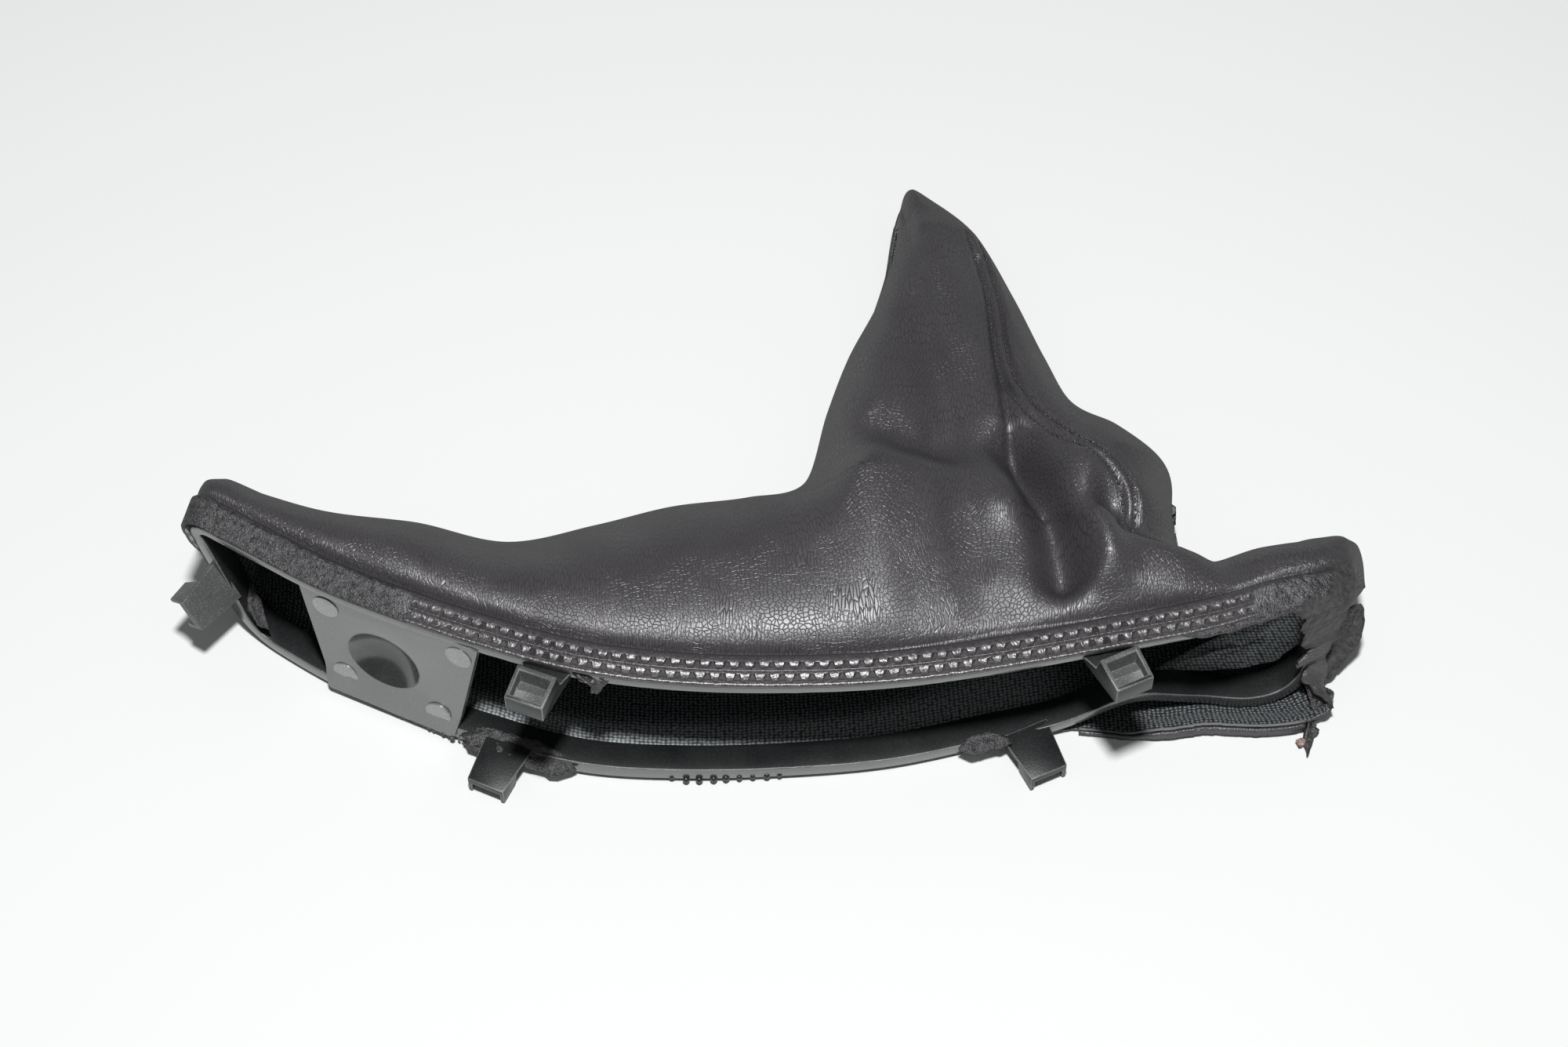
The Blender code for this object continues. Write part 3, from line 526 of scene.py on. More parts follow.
def gaiter_grid(lower, rows):
    """Points of the sheet's outside from the rail to the fold, with how worn the
    sheet is at each of them; on the knit the same share is painted light."""
    last = len(STATIONS) - 1
    places = np.linspace(0, last, COLUMNS + 1)
    outline = np.array([(station(i, 1), station(i, 2)) for i in places])
    grid = np.zeros((COLUMNS + 1, COLLAR_ROWS + rows, 3))
    worn = np.zeros((COLUMNS + 1, COLLAR_ROWS + rows))
    for c, (i, x, z) in enumerate(zip(places, *start_points(rail_half(lower), places))):
        from_end = min(i, last - i, END_STATIONS) / END_STATIONS
        opened = math.sqrt(1 - (1 - from_end) ** 2)
        loose = float(smooth(LOOSE_END_X, FRAME_RIGHT, x))
        line, wear, heading = collar_line(x, z, lower, from_end, loose)
        grid[c, :COLLAR_ROWS], worn[c, :COLLAR_ROWS] = line, wear
        grid[c, COLLAR_ROWS:], t = sleeve_line(line[-1, :2], z, heading, i, outline[c], outline,
                                               lower, rows, opened)
        # towards the torn end the share rubs the leather and paints light on the knit inside
        worn[c, COLLAR_ROWS:] = loose * (1 - smooth(0.1, 0.5, t)) * 0.8
        if lower:
            # on the lower sheet the share paints light: the knit is drawn lighter in the strip
            # that the lamp reaches through the opening, less so further in; the leather under it
            # takes the rubbed tone there too
            near = (1 - smooth(70, 90, x)) * smooth(-120, -100, x)
            worn[c, :COLLAR_ROWS] = near
            worn[c, COLLAR_ROWS:] = near * (1 - smooth(0.04, 0.14, t))
    return grid, worn


def hex_colour(code):
    """An sRGB hex colour as linear red, green, blue and alpha."""
    values = [int(code[k:k + 2], 16) / 255 for k in (1, 3, 5)]
    return tuple(v / 12.92 if v <= 0.04045 else ((v + 0.055) / 1.055) ** 2.4
                 for v in values) + (1.0,)


def add(tree, kind, inputs=(), **settings):
    """A node of this kind with its settings. inputs maps a socket's name or number to a
    value, to another node's output, or to a node, which stands for its first output."""
    node = tree.nodes.new(kind)
    for name, value in settings.items():
        setattr(node, name, value)
    for key, value in dict(inputs).items():
        if isinstance(value, bpy.types.Node):
            value = value.outputs[0]
        if isinstance(value, bpy.types.NodeSocket):
            tree.links.new(value, node.inputs[key])
        else:
            node.inputs[key].default_value = value
    return node


def new_material(name):
    """A material and its tree, still empty."""
    mat = bpy.data.materials.new(name)
    mat.use_nodes = True
    mat.node_tree.nodes.clear()
    return mat, mat.node_tree


def ramp(tree, value, *stops):
    """A colour ramp through (place, colour) stops."""
    node = add(tree, "ShaderNodeValToRGB", {"Fac": value})
    points = node.color_ramp.elements
    while len(points) < len(stops):
        points.new(0.5)
    for point, (place, colour) in zip(points, stops):
        point.position = place
        point.color = hex_colour(colour) if isinstance(colour, str) else colour
    return node


def blend(tree, share, one, two, **settings):
    """Colour one where share is 0 and colour two where it is 1."""
    node = add(tree, "ShaderNodeMix", {"Factor": share, 6: one, 7: two}, data_type="RGBA",
               **settings)
    return node.outputs[2]


def uneven(tree, place, scale, detail=2.0, **inputs):
    """Soft random unevenness with scale lumps to the metre."""
    return add(tree, "ShaderNodeTexNoise",
               {"Vector": place, "Scale": scale, "Detail": detail, **inputs})


def cells(tree, place, scale):
    """Polygon cells, by how far each place is from their borders."""
    return add(tree, "ShaderNodeTexVoronoi", {"Vector": place, "Scale": scale},
               feature="DISTANCE_TO_EDGE", voronoi_dimensions="2D")


def adrift(tree, place, scale, reach):
    """The place moved about by up to reach metres, so that a pattern doesn't run straight."""
    drift = uneven(tree, place, scale).outputs["Color"]
    shift = add(tree, "ShaderNodeVectorMath", {0: drift, 1: (reach,) * 3}, operation="MULTIPLY")
    return add(tree, "ShaderNodeVectorMath", {0: place, 1: shift}, operation="ADD")


def bumps(tree, height, distance, **inputs):
    """A surface's small relief, distance metres deep."""
    return add(tree, "ShaderNodeBump", {"Height": height, "Distance": distance, **inputs})


def lacquered(tree, colour, gloss, roughness, normal):
    """A dull body under lacquer, whose gloss stays even towards the edges, as on a finely
    grained surface."""
    body = add(tree, "ShaderNodeBsdfDiffuse", {"Color": colour, "Normal": normal})
    coat = add(tree, "ShaderNodeBsdfAnisotropic", {"Color": gloss, "Roughness": roughness,
                                                   "Normal": normal})
    shader = add(tree, "ShaderNodeAddShader", {0: body, 1: coat})
    add(tree, "ShaderNodeOutputMaterial", {"Surface": shader})


def solid_surface(tree, colour, roughness, normal, **inputs):
    """A plain plastic, thread or glue surface."""
    shader = add(tree, "ShaderNodeBsdfPrincipled", {
        "Base Color": colour, "Roughness": roughness, "Normal": normal, **inputs})
    add(tree, "ShaderNodeOutputMaterial", {"Surface": shader})


def wear_and_lit_share(tree):
    """How worn the sheet is at each place, from 0 to 1; on the knit the same share paints light.
    """
    return add(tree, "ShaderNodeAttribute", attribute_name="worn").outputs["Fac"]


def leatherette():
    """Plasticised PVC on a knit, embossed with a calf grain: charcoal, satin, with
    grain cells of about 1.3 mm and fine wrinkles where the sheet bends."""
    mat, tree = new_material("embossed_leatherette")
    place = add(tree, "ShaderNodeUVMap", uv_map="cloth")
    # the polygon cells of the grain, about 1.3 mm, with thin valleys between them
    plateau = add(tree, "ShaderNodeMapRange", {
        "Value": cells(tree, adrift(tree, place, 310.0, 0.0016), 800.0), "From Max": 0.15},
        interpolation_type="SMOOTHSTEP")
    # short wrinkles across the roll, 1 mm wide and some 5 mm long
    stretched = add(tree, "ShaderNodeMapping", {"Vector": adrift(tree, place, 70.0, 0.004),
                                                "Scale": (1150.0, 260.0, 1.0)})
    pleat = add(tree, "ShaderNodeMapRange", {"Value": cells(tree, stretched, 1.0),
                                             "From Max": 0.16})
    where = add(tree, "ShaderNodeMapRange", {"Value": uneven(tree, place, 55.0, 1.0),
                                             "From Min": 0.42, "From Max": 0.62})
    grain = add(tree, "ShaderNodeMix", {"Factor": where, 2: plateau, 3: pleat})
    fine = uneven(tree, place, 2300.0)
    height = add(tree, "ShaderNodeMath", {0: fine, 1: 0.25, 2: grain}, operation="MULTIPLY_ADD")
    embossed = bumps(tree, height, 0.00014, Strength=0.6)
    # the welded or torn band: melted, granular and a little lighter
    worn = wear_and_lit_share(tree)
    crumbs = uneven(tree, place, 520.0, 4.0, Roughness=0.65)
    depth = add(tree, "ShaderNodeMath", {0: worn, 1: 0.0011}, operation="MULTIPLY")
    rubbed = bumps(tree, crumbs, depth.outputs[0], Normal=embossed.outputs[0])
    # charcoal in slightly uneven patches, darker in the grain's valleys
    patches = ramp(tree, uneven(tree, place, 45.0, 4.0), (0.3, "#3d3b3d"), (0.7, "#474547"))
    creased = blend(tree, grain, hex_colour("#302e30"), patches)
    rub = ramp(tree, crumbs, (0.38, "#19181a"), (0.62, "#454446"))
    rough = add(tree, "ShaderNodeMapRange", {"Value": fine, "To Min": 0.34, "To Max": 0.5})
    lacquered(tree, blend(tree, worn, creased, rub), (0.088, 0.087, 0.089, 1.0), rough, rubbed)
    return mat


def melted_skin():
    """The same vinyl where the welding tool has melted it: smooth, harder and glossier."""
    mat, tree = new_material("melted_leatherette")
    place = add(tree, "ShaderNodeTexCoord").outputs["Object"]
    lumps = uneven(tree, place, 900.0, 3.0)
    tone = ramp(tree, lumps, (0.35, "#333133"), (0.65, "#474547"))
    lacquered(tree, tone, (0.115, 0.113, 0.114, 1.0), 0.36, bumps(tree, lumps, 0.00025))
    return mat


def knit_backing():
    """Polyester knit on the sheet's inner side: black yarn with light loops in courses
    1.3 mm apart, drawn a little coarser than the real 0.9 mm so that they show."""
    mat, tree = new_material("polyester_knit")
    place = add(tree, "ShaderNodeUVMap", uv_map="cloth")
    turned = add(tree, "ShaderNodeMapping", {"Vector": adrift(tree, place, 600.0, 0.0003),
                                             "Scale": (770.0, 1050.0, 1)})
    loops = add(tree, "ShaderNodeTexVoronoi", {"Vector": turned, "Scale": 1.0,
                                               "Randomness": 0.3}, voronoi_dimensions="2D")
    yarn = ramp(tree, loops, (0.12, "#858b8e"), (0.34, "#34383b"), (0.6, "#0b0c0d"))
    # the same yarn drawn lighter where the sheet's worn share is high: painted light on the knit,
    # standing in for the lamp reaching inside
    lit_yarn = ramp(tree, loops, (0.15, "#c6cacb"), (0.42, "#7c8285"), (0.7, "#1b1d1e"))
    relief = add(tree, "ShaderNodeBump", {"Height": loops, "Strength": 0.7,
                                          "Distance": 0.0004}, invert=True)
    solid_surface(tree, blend(tree, wear_and_lit_share(tree), yarn, lit_yarn), 0.85, relief,
                  **{"Sheen Weight": 0.2})
    return mat


def moulded_plastic(name, dark, light, roughness, spark_depth, ior=1.5):
    """Filled polypropylene, injection moulded: near-black and satin, with a spark
    texture of about 0.4 mm and a thin film of dust that comes and goes."""
    mat, tree = new_material(name)
    place = add(tree, "ShaderNodeTexCoord").outputs["Object"]
    film = uneven(tree, place, 60.0, 5.0)
    spark = uneven(tree, place, 2400.0)
    colour = ramp(tree, film, (0.35, dark), (0.68, light))
    specks = ramp(tree, spark, (0.5, (1.0, 1.0, 1.0, 1.0)), (0.68, (1.9, 1.9, 1.9, 1.0)))
    rough = add(tree, "ShaderNodeMapRange", {"Value": film, "To Min": roughness - 0.06,
                                             "To Max": roughness + 0.08})
    solid_surface(tree, blend(tree, 1.0, colour, specks, blend_type="MULTIPLY"), rough,
                  bumps(tree, spark, spark_depth * MM, Strength=0.5), IOR=ior)
    return mat


def plain_material(name, colour, roughness):
    """A material of one colour with a slight unevenness, for threads and small bits."""
    mat, tree = new_material(name)
    lumps = uneven(tree, add(tree, "ShaderNodeTexCoord").outputs["Object"], 900.0, 3.0)
    solid_surface(tree, hex_colour(colour), roughness, bumps(tree, lumps, 0.0002))
    return mat


def placed(name, data):
    """A new object in the scene with this mesh, lamp or camera."""
    obj = bpy.data.objects.new(name, data)
    bpy.context.collection.objects.link(obj)
    return obj


def finish_mesh(name, verts, faces, materials=(), uvs=None, marks=None, face_materials=None):
    """A piece from points in millimetres, with an optional UV map in metres, a share of
    wear for each point, which on the knit is also painted light, and a material number for each
    face."""
    verts = np.asarray(verts, float) + PLACE
    mesh = bpy.data.meshes.new(name)
    mesh.from_pydata(verts * MM, [], [tuple(int(k) for k in f) for f in faces])
    for mat in materials:
        mesh.materials.append(mat)
    if uvs is not None:
        layer = mesh.uv_layers.new(name="cloth")
        corners = np.zeros(len(mesh.loops), np.int32)
        mesh.loops.foreach_get("vertex_index", corners)
        layer.data.foreach_set("uv", (np.asarray(uvs)[corners] * MM).ravel())
    if marks is not None:
        mesh.attributes.new("worn", "FLOAT", "POINT").data.foreach_set("value", marks)
    if face_materials is not None:
        mesh.polygons.foreach_set("material_index", face_materials)
    mesh.shade_smooth()
    return placed(name, mesh)


def quads(rows, columns, base=0, closed=True, flip=False):
    """The faces between rows of points that follow each other from number base on.
    closed joins each row's ends, flip turns the faces over."""
    faces = []
    for r in range(rows - 1):
        for k in range(columns if closed else columns - 1):
            near = base + r * columns
            far, m = near + columns, (k + 1) % columns
            face = (near + k, near + m, far + m, far + k)
            faces.append((face[0], *face[:0:-1]) if flip else face)
    return faces


def spokes(sides):
    """Cosine and sine of even steps round a circle."""
    turns = [2 * math.pi * k / sides for k in range(sides)]
    return [(math.cos(a), math.sin(a)) for a in turns]


def clean_up(obj, merge=0.0, outward=True, sharp=None):
    """Merge close points, turn every face outward and keep sharp edges sharp."""
    bm = bmesh.new()
    bm.from_mesh(obj.data)
    if merge:
        bmesh.ops.remove_doubles(bm, verts=bm.verts, dist=merge * MM)
    if outward:
        bmesh.ops.recalc_face_normals(bm, faces=bm.faces)
    bm.to_mesh(obj.data)
    bm.free()
    if sharp is not None:
        obj.data.set_sharp_from_angle(angle=math.radians(sharp))
    return obj


def apply_modifiers(obj):
    """Bake the object's modifiers into its mesh."""
    bpy.context.view_layer.update()
    graph = bpy.context.evaluated_depsgraph_get()
    mesh = bpy.data.meshes.new_from_object(obj.evaluated_get(graph))
    obj.modifiers.clear()
    obj.data = mesh
    return obj


def rest_on_table(obj):
    """Flatten what would reach below the table's surface."""
    for v in obj.data.vertices:
        v.co.z = max(v.co.z, 0.05 * MM)
    return obj


def thicken(obj, thickness, inner_material=0):
    """Give a sheet its thickness, inwards from the side that is modelled."""
    wall = obj.modifiers.new("wall", "SOLIDIFY")
    wall.thickness = thickness * MM
    wall.offset = -1
    wall.material_offset = inner_material
    return apply_modifiers(obj)


def gaiter_sheet(materials):
    """The gaiter's leatherette with its knit backing, folded as it lies."""
    points, uvs, worn, faces = [], [], [], []
    for lower, rows in ((False, UPPER_ROWS), (True, LOWER_ROWS)):
        grid, marks = gaiter_grid(lower, rows)
        count = grid.shape[1]
        along = lengths_along(grid[:, 0])
        steps = np.linalg.norm(np.diff(grid, axis=1), axis=2)
        down = np.concatenate((np.zeros((COLUMNS + 1, 1)), np.cumsum(steps, axis=1)), axis=1)
        place = grid[:, :, 0] * 0.5 + (along[:, None] - 170) * 0.5
        base = len(points)
        points.extend(grid.reshape(-1, 3))
        worn.extend(marks.ravel())
        uvs.extend(np.stack((place, -down if lower else down), 2).reshape(-1, 2))
        c, r = np.meshgrid(np.arange(COLUMNS), np.arange(count - 1), indexing="ij")
        first = (base + c * count + r).ravel()
        corners = np.stack((first, first + count, first + count + 1, first + 1), 1)
        faces.extend(corners[:, ::-1] if lower else corners)
    obj = finish_mesh("gaiter_sheet", points, faces, materials, uvs, worn)
    return thicken(clean_up(obj, merge=0.05, outward=False), SHEET, 1)


def repeat(name, shape, spots, turns, material, size_spread=0.0, turn_spread=0.0, seed=1):
    """Copies of a small shape at spots (mm), each turned by its Euler angles, with some
    scatter in size and turn; made with geometry nodes and baked to a mesh."""
    mesh = bpy.data.meshes.new(name)
    mesh.from_pydata((np.asarray(spots, float) + PLACE) * MM, [], [])
    mesh.attributes.new("turn", "FLOAT_VECTOR", "POINT").data.foreach_set(
        "vector", np.asarray(turns, float).ravel())
    obj = placed(name, mesh)
    tree = bpy.data.node_groups.new(name + "_pattern", "GeometryNodeTree")
    face = tree.interface
    face.new_socket("Geometry", in_out="OUTPUT", socket_type="NodeSocketGeometry")
    for label, kind in (("Geometry", "Geometry"), ("Shape", "Object"), ("Size Spread", "Float"),
                        ("Turn Spread", "Float"), ("Seed", "Int"), ("Material", "Material")):
        face.new_socket(label, in_out="INPUT", socket_type="NodeSocket" + kind)
    given = add(tree, "NodeGroupInput").outputs
    seed_of, spread = given["Seed"], given["Turn Spread"]
    low = add(tree, "ShaderNodeMath", {0: 1.0, 1: given["Size Spread"]}, operation="SUBTRACT")
    high = add(tree, "ShaderNodeMath", {0: 1.0, 1: given["Size Spread"]}, operation="ADD")
    size = add(tree, "FunctionNodeRandomValue", {2: low, 3: high, "Seed": seed_of},
               data_type="FLOAT")
    back = add(tree, "ShaderNodeMath", {0: spread, 1: -1.0}, operation="MULTIPLY")
    least = add(tree, "ShaderNodeCombineXYZ", {k: back for k in range(3)})
    most = add(tree, "ShaderNodeCombineXYZ", {k: spread for k in range(3)})
    scatter = add(tree, "FunctionNodeRandomValue", {0: least, 1: most, "Seed": seed_of},
                  data_type="FLOAT_VECTOR")
    turn = add(tree, "GeometryNodeInputNamedAttribute", {"Name": "turn"},
               data_type="FLOAT_VECTOR")
    angles = add(tree, "ShaderNodeVectorMath", {0: turn.outputs["Attribute"],
                                                1: scatter.outputs["Value"]}, operation="ADD")
    source = add(tree, "GeometryNodeObjectInfo", {"Object": given["Shape"]})
    copies = add(tree, "GeometryNodeInstanceOnPoints", {
        "Points": given["Geometry"], "Instance": source.outputs["Geometry"],
        "Rotation": angles, "Scale": size.outputs[1]})
    real = add(tree, "GeometryNodeRealizeInstances", {"Geometry": copies})
    done = add(tree, "GeometryNodeSetMaterial", {"Geometry": real, "Material": given["Material"]})
    add(tree, "NodeGroupOutput", {"Geometry": done})
    pattern = obj.modifiers.new("pattern", "NODES")
    pattern.node_group = tree
    values = {"Shape": shape, "Size Spread": size_spread, "Turn Spread": turn_spread,
              "Seed": seed, "Material": material}
    for item in face.items_tree:
        if item.in_out == "INPUT" and item.name in values:
            pattern[item.identifier] = values[item.name]
    apply_modifiers(obj)
    bpy.data.objects.remove(shape)
    return obj


def small_shape(name, verts, faces, smooth_it=True):
    """A small shape in millimetres round its own origin, to be repeated."""
    mesh = bpy.data.meshes.new(name)
    mesh.from_pydata([Vector(v) * MM for v in verts], [], faces)
    obj = clean_up(placed(name, mesh))
    if smooth_it:
        mesh.shade_smooth()
    else:
        mesh.shade_flat()
    return obj


def lathe(name, rings, sides, bend=0.0):
    """A small turned shape along X: rings of (x, radius), closed at both ends."""
    verts = [(x, radius * c, radius * s - bend * x * x)
             for x, radius in rings for c, s in spokes(sides)]
    ends = [tuple(range(sides)), tuple(range(len(verts) - sides, len(verts)))]
    return small_shape(name, verts, ends + quads(len(rings), sides))


def turn_to(along, normal):
    """Euler angles that lay X along a direction with Z along a surface normal."""
    along, normal = Vector(along).normalized(), Vector(normal).normalized()
    side = normal.cross(along).normalized()
    along = side.cross(normal)
    return tuple(Matrix((along, side, normal)).transposed().to_euler())


def band_point(x, depth, lift=0.0):
    """A point on the leather over the upper rail, depth behind the frame's edge."""
    height = FRAME_TOP + FIT_GAP + SHEET
    nx, ny = inward(x)
    return Vector((x + nx * depth, front_y(x, height) + ny * depth,
                   height + lift + float(band_rise(depth))))


def weld_knurl(leather):
    """Two rows of small pyramids that the welding tool has left on the collar band."""
    wide, deep, tall = KNURL_SIZE
    half = wide / 2
    verts = ((-half, 0, -0.5), (half, 0, -0.5), (half * 0.7, deep, -0.3),
             (-half * 0.7, deep, -0.3), (-0.12, deep * 0.4, tall), (0.12, deep * 0.44, tall))
    faces = ((0, 1, 5, 4), (1, 2, 5), (2, 3, 4, 5), (3, 0, 4), (3, 2, 1, 0))
    shape = small_shape("pyramid", verts, faces, smooth_it=False)
    spots, turns = [], []
    for row, depth in enumerate(KNURL_ROWS):
        x = KNURL_FROM_X + row * KNURL_SKEW
        while x < KNURL_TO_X:
            ahead = (band_point(x + 1, depth) - band_point(x - 1, depth)).normalized()
            pressed = 0.8 * float(1 - smooth(-100, -72, x)) + 0.7 * float(smooth(105, 130, x))
            spots.append(band_point(x, depth, 0.1 - pressed))
            turns.append(turn_to(ahead, (0, 0, 1)))
            x += KNURL_PITCH * ahead.x
    return repeat("weld_knurl", shape, spots, turns, leather, 0.06, 0.05, seed=4)


def weld_lands(leather):
    """The melted strip under the pyramids, with the ridges in front of and between them."""
    section = ((-0.75, -0.5), (-0.7, 0.3), (0.1, 0.4), (0.4, 0.1), (2.2, 0.12), (3.2, 0.15),
               (3.3, 0.55), (3.6, 0.5), (3.7, 0.12), (5.2, 0.12), (6.9, 0.25), (7.5, -0.4))
    verts = []
    xs = np.arange(KNURL_FROM_X, KNURL_TO_X, 1.5)
    for x in xs:
        wave = 0.15 * noise.noise(Vector((x * 0.4, 1.0, 0)))
        verts += [band_point(x, depth + wave, up) for depth, up in section]
    return finish_mesh("weld_lands", verts,
                       quads(len(xs), len(section), closed=False, flip=True), (leather,),
                       [(v.x, v.y) for v in verts], [0.2] * len(verts))


def surface_tree(obj):
    """A tree of the piece's faces, to find points on its surface."""
    return BVHTree.FromObject(obj, bpy.context.evaluated_depsgraph_get())


def drop_onto(tree, x, y):
    """The surface's highest point over a point in plan (mm), and its normal."""
    start = Vector((x + PLACE[0], y + PLACE[1], 200.0)) * MM
    spot, normal, _, _ = tree.ray_cast(start, Vector((0, 0, -1)))
    if spot is None:
        return None, None
    return spot / MM - Vector(PLACE), normal


def seam_stitches(sheet_tree, thread):
    """Two rows of topstitching beside the seam: 1.9 mm stitches of bonded thread, drawn
    a little thick so that they show."""
    shape = lathe("stitch", ((-0.82, 0.08), (-0.62, 0.3), (-0.2, 0.38), (0.2, 0.38),
                             (0.62, 0.3), (0.82, 0.08)), 6, bend=0.12)
    curve = curve_through(SEAM, STITCH_PITCH)
    spots, turns = [], []
    for k in range(1, len(curve) - 1):
        ahead = Vector((*(curve[k + 1] - curve[k - 1]), 0)).normalized()
        side = Vector((-ahead.y, ahead.x, 0))
        for row in (-1, 1):
            place = Vector((*curve[k], 0)) + side * SEAM_GAP * row
            spot, normal = drop_onto(sheet_tree, place.x, place.y)
            after, _ = drop_onto(sheet_tree, place.x + ahead.x, place.y + ahead.y)
            if spot is None or after is None or normal.z < 0.15:
                continue
            spots.append(spot + normal * 0.16)
            turns.append(turn_to(after - spot, normal))
    return repeat("seam_stitches", shape, spots, turns, thread, 0.08, 0.12, seed=7)


def torn_scrap(name, border, materials, thickness=SHEET, crumple=0.5, seed=1.0):
    """A torn or loose bit of the sheet: filled in from its border, crumpled and thick."""
    corners = [Vector(p) for p in border]
    ring = []
    for a, b in zip(corners, corners[1:] + corners[:1]):
        for share in (0.0, 0.25, 0.5, 0.75):
            p = a.lerp(b, share)
            ring.append(p + noise.noise_vector(p * 0.9 + Vector((seed, 0, 0))) * 0.45 * crumple)
    middle = sum(ring, Vector()) / len(ring)
    shares, verts = (1.0, 0.8, 0.6, 0.4, 0.2, 0.02), []
    for share in shares:
        for p in ring:
            q = middle.lerp(p, share)
            fold = noise.noise_vector(q * 0.35 + Vector((seed, 1, 0)))
            q += fold * crumple * 1.6 * (1 - share ** 4)
            q.z = max(q.z, thickness + 0.2)
            verts.append(q)
    uvs = [(v.x + 0.6 * v.z, v.y + 0.6 * v.z) for v in verts]
    # every point has the full worn share: rubbed on the leather side, and on the knit side the
    # lighter yarn of painted light
    obj = finish_mesh(name, verts, quads(len(shares), len(ring)), materials, uvs,
                      [1.0] * len(verts))
    if sum(face.normal.z * face.area for face in obj.data.polygons) < 0:
        obj.data.flip_normals()
    return thicken(obj, thickness, len(materials) - 1)


def torn_bits(leather, knit):
    """What is left of the torn edges: flaps, tabs and scraps of the sheet."""
    pieces = [torn_scrap("scrap", border, (leather, knit), crumple=crumple, seed=seed)
              for seed, (border, crumple) in enumerate(SCRAPS)]
    return rest_on_table(join("torn_edges", pieces))


def hem_edge():
    """The front edge of the loose hem, along the lower rail's right part."""
    grid, _ = gaiter_grid(True, LOWER_ROWS)
    left, right = HEM_SHOWN
    return [Vector(p) for p in grid[:, 0] if left < p[0] < right and p[2] < HEM_BELOW]


def hem_skirt(run, leather):
    """The folded edge of the hem, hanging down from the light line to the table."""
    verts = []
    for p in run:
        drop = max(p.z - 0.4 - 0.4 * noise.noise(p * 0.5), 0.1)
        for share, back in ((0, 0), (0.5, -0.3), (1, 0.4)):
            verts.append(p + Vector((0, back, 0.5 - (drop + 0.5) * share)))
    obj = finish_mesh("hem_skirt", verts, quads(len(run), 3, closed=False, flip=True),
                      (leather,), [(v.x, v.z) for v in verts], [0.15] * len(verts))
    return rest_on_table(thicken(obj, SHEET))


def hem_fray(run, material, sides=8):
    """The thin light edge where the hem's coating has cracked along the fold."""
    run = sorted(run[::2], key=lambda p: p.x)
    run = [p + Vector((0, 0.1, SHEET * 0.9)) for p in run]
    verts = []
    for k, p in enumerate(run):
        ahead = (run[min(k + 1, len(run) - 1)] - run[max(k - 1, 0)]).normalized()
        side = ahead.cross(Vector((0, 0.3, 1))).normalized()
        up = side.cross(ahead)
        radius = 0.42 + 0.16 * noise.noise(p * 0.8)
        verts += [p + (side * c + up * s) * radius for c, s in spokes(sides)]
    faces = quads(len(run), sides)
    faces += [tuple(range(sides)), tuple(range(len(verts) - sides, len(verts)))]
    return clean_up(finish_mesh("hem_fray", verts, faces, (material,),
                                [(v.x + v.z, v.y) for v in verts], [1.0] * len(verts)))


def weld_beads(plastic):
    """Little beads of plastic that have run out of the weld under the lower rail."""
    shape = lathe("bead", ((-2.6, 0.35), (-0.9, 0.45), (-0.6, 0.75), (0.0, 1.0), (0.6, 0.75),
                           (0.9, 0.3)), 8)
    turns = [turn_to((0, -0.8, -0.35), (0, -0.35, 0.8))] * len(BEADS)
    return repeat("weld_beads", shape, BEADS, turns, plastic, 0.14, 0.15, seed=3)


def weld_crumbs(material):
    """Crumbs of melted vinyl that the weld has left along the lower rail's edge."""
    shape = lathe("crumb", ((-0.6, 0.2), (-0.2, 0.55), (0.35, 0.45), (0.7, 0.12)), 5)
    run = [Vector(p) for p in CRUMBS_RUN]
    spots, turns = [], []
    for a, b in zip(run, run[1:]):
        for m in range(13):
            p = a.lerp(b, m / 13)
            spots.append(p + noise.noise_vector(p * 2.3) * 0.9)
            turns.append(tuple(noise.noise_vector(p * 3.1) * 4))
    return repeat("weld_crumbs", shape, spots, turns, material, 0.45, 1.0, seed=9)


def lower_rim(x):
    """Height of the front face of the lower rail."""
    return LOWER_RIM - 0.6 * (1 - smooth(-130, -90, x))


def sprung_lift(x, z):
    """How far the loose stretch of the lower rail has sprung up."""
    low = 1 - smooth(FRAME_BOTTOM + SPRUNG_HEIGHT, FRAME_BOTTOM + FRAME_HEIGHT / 2, z)
    return SPRUNG_LIFT * low * math.exp(-((x - SPRUNG_X) / SPRUNG_WIDTH) ** 2)


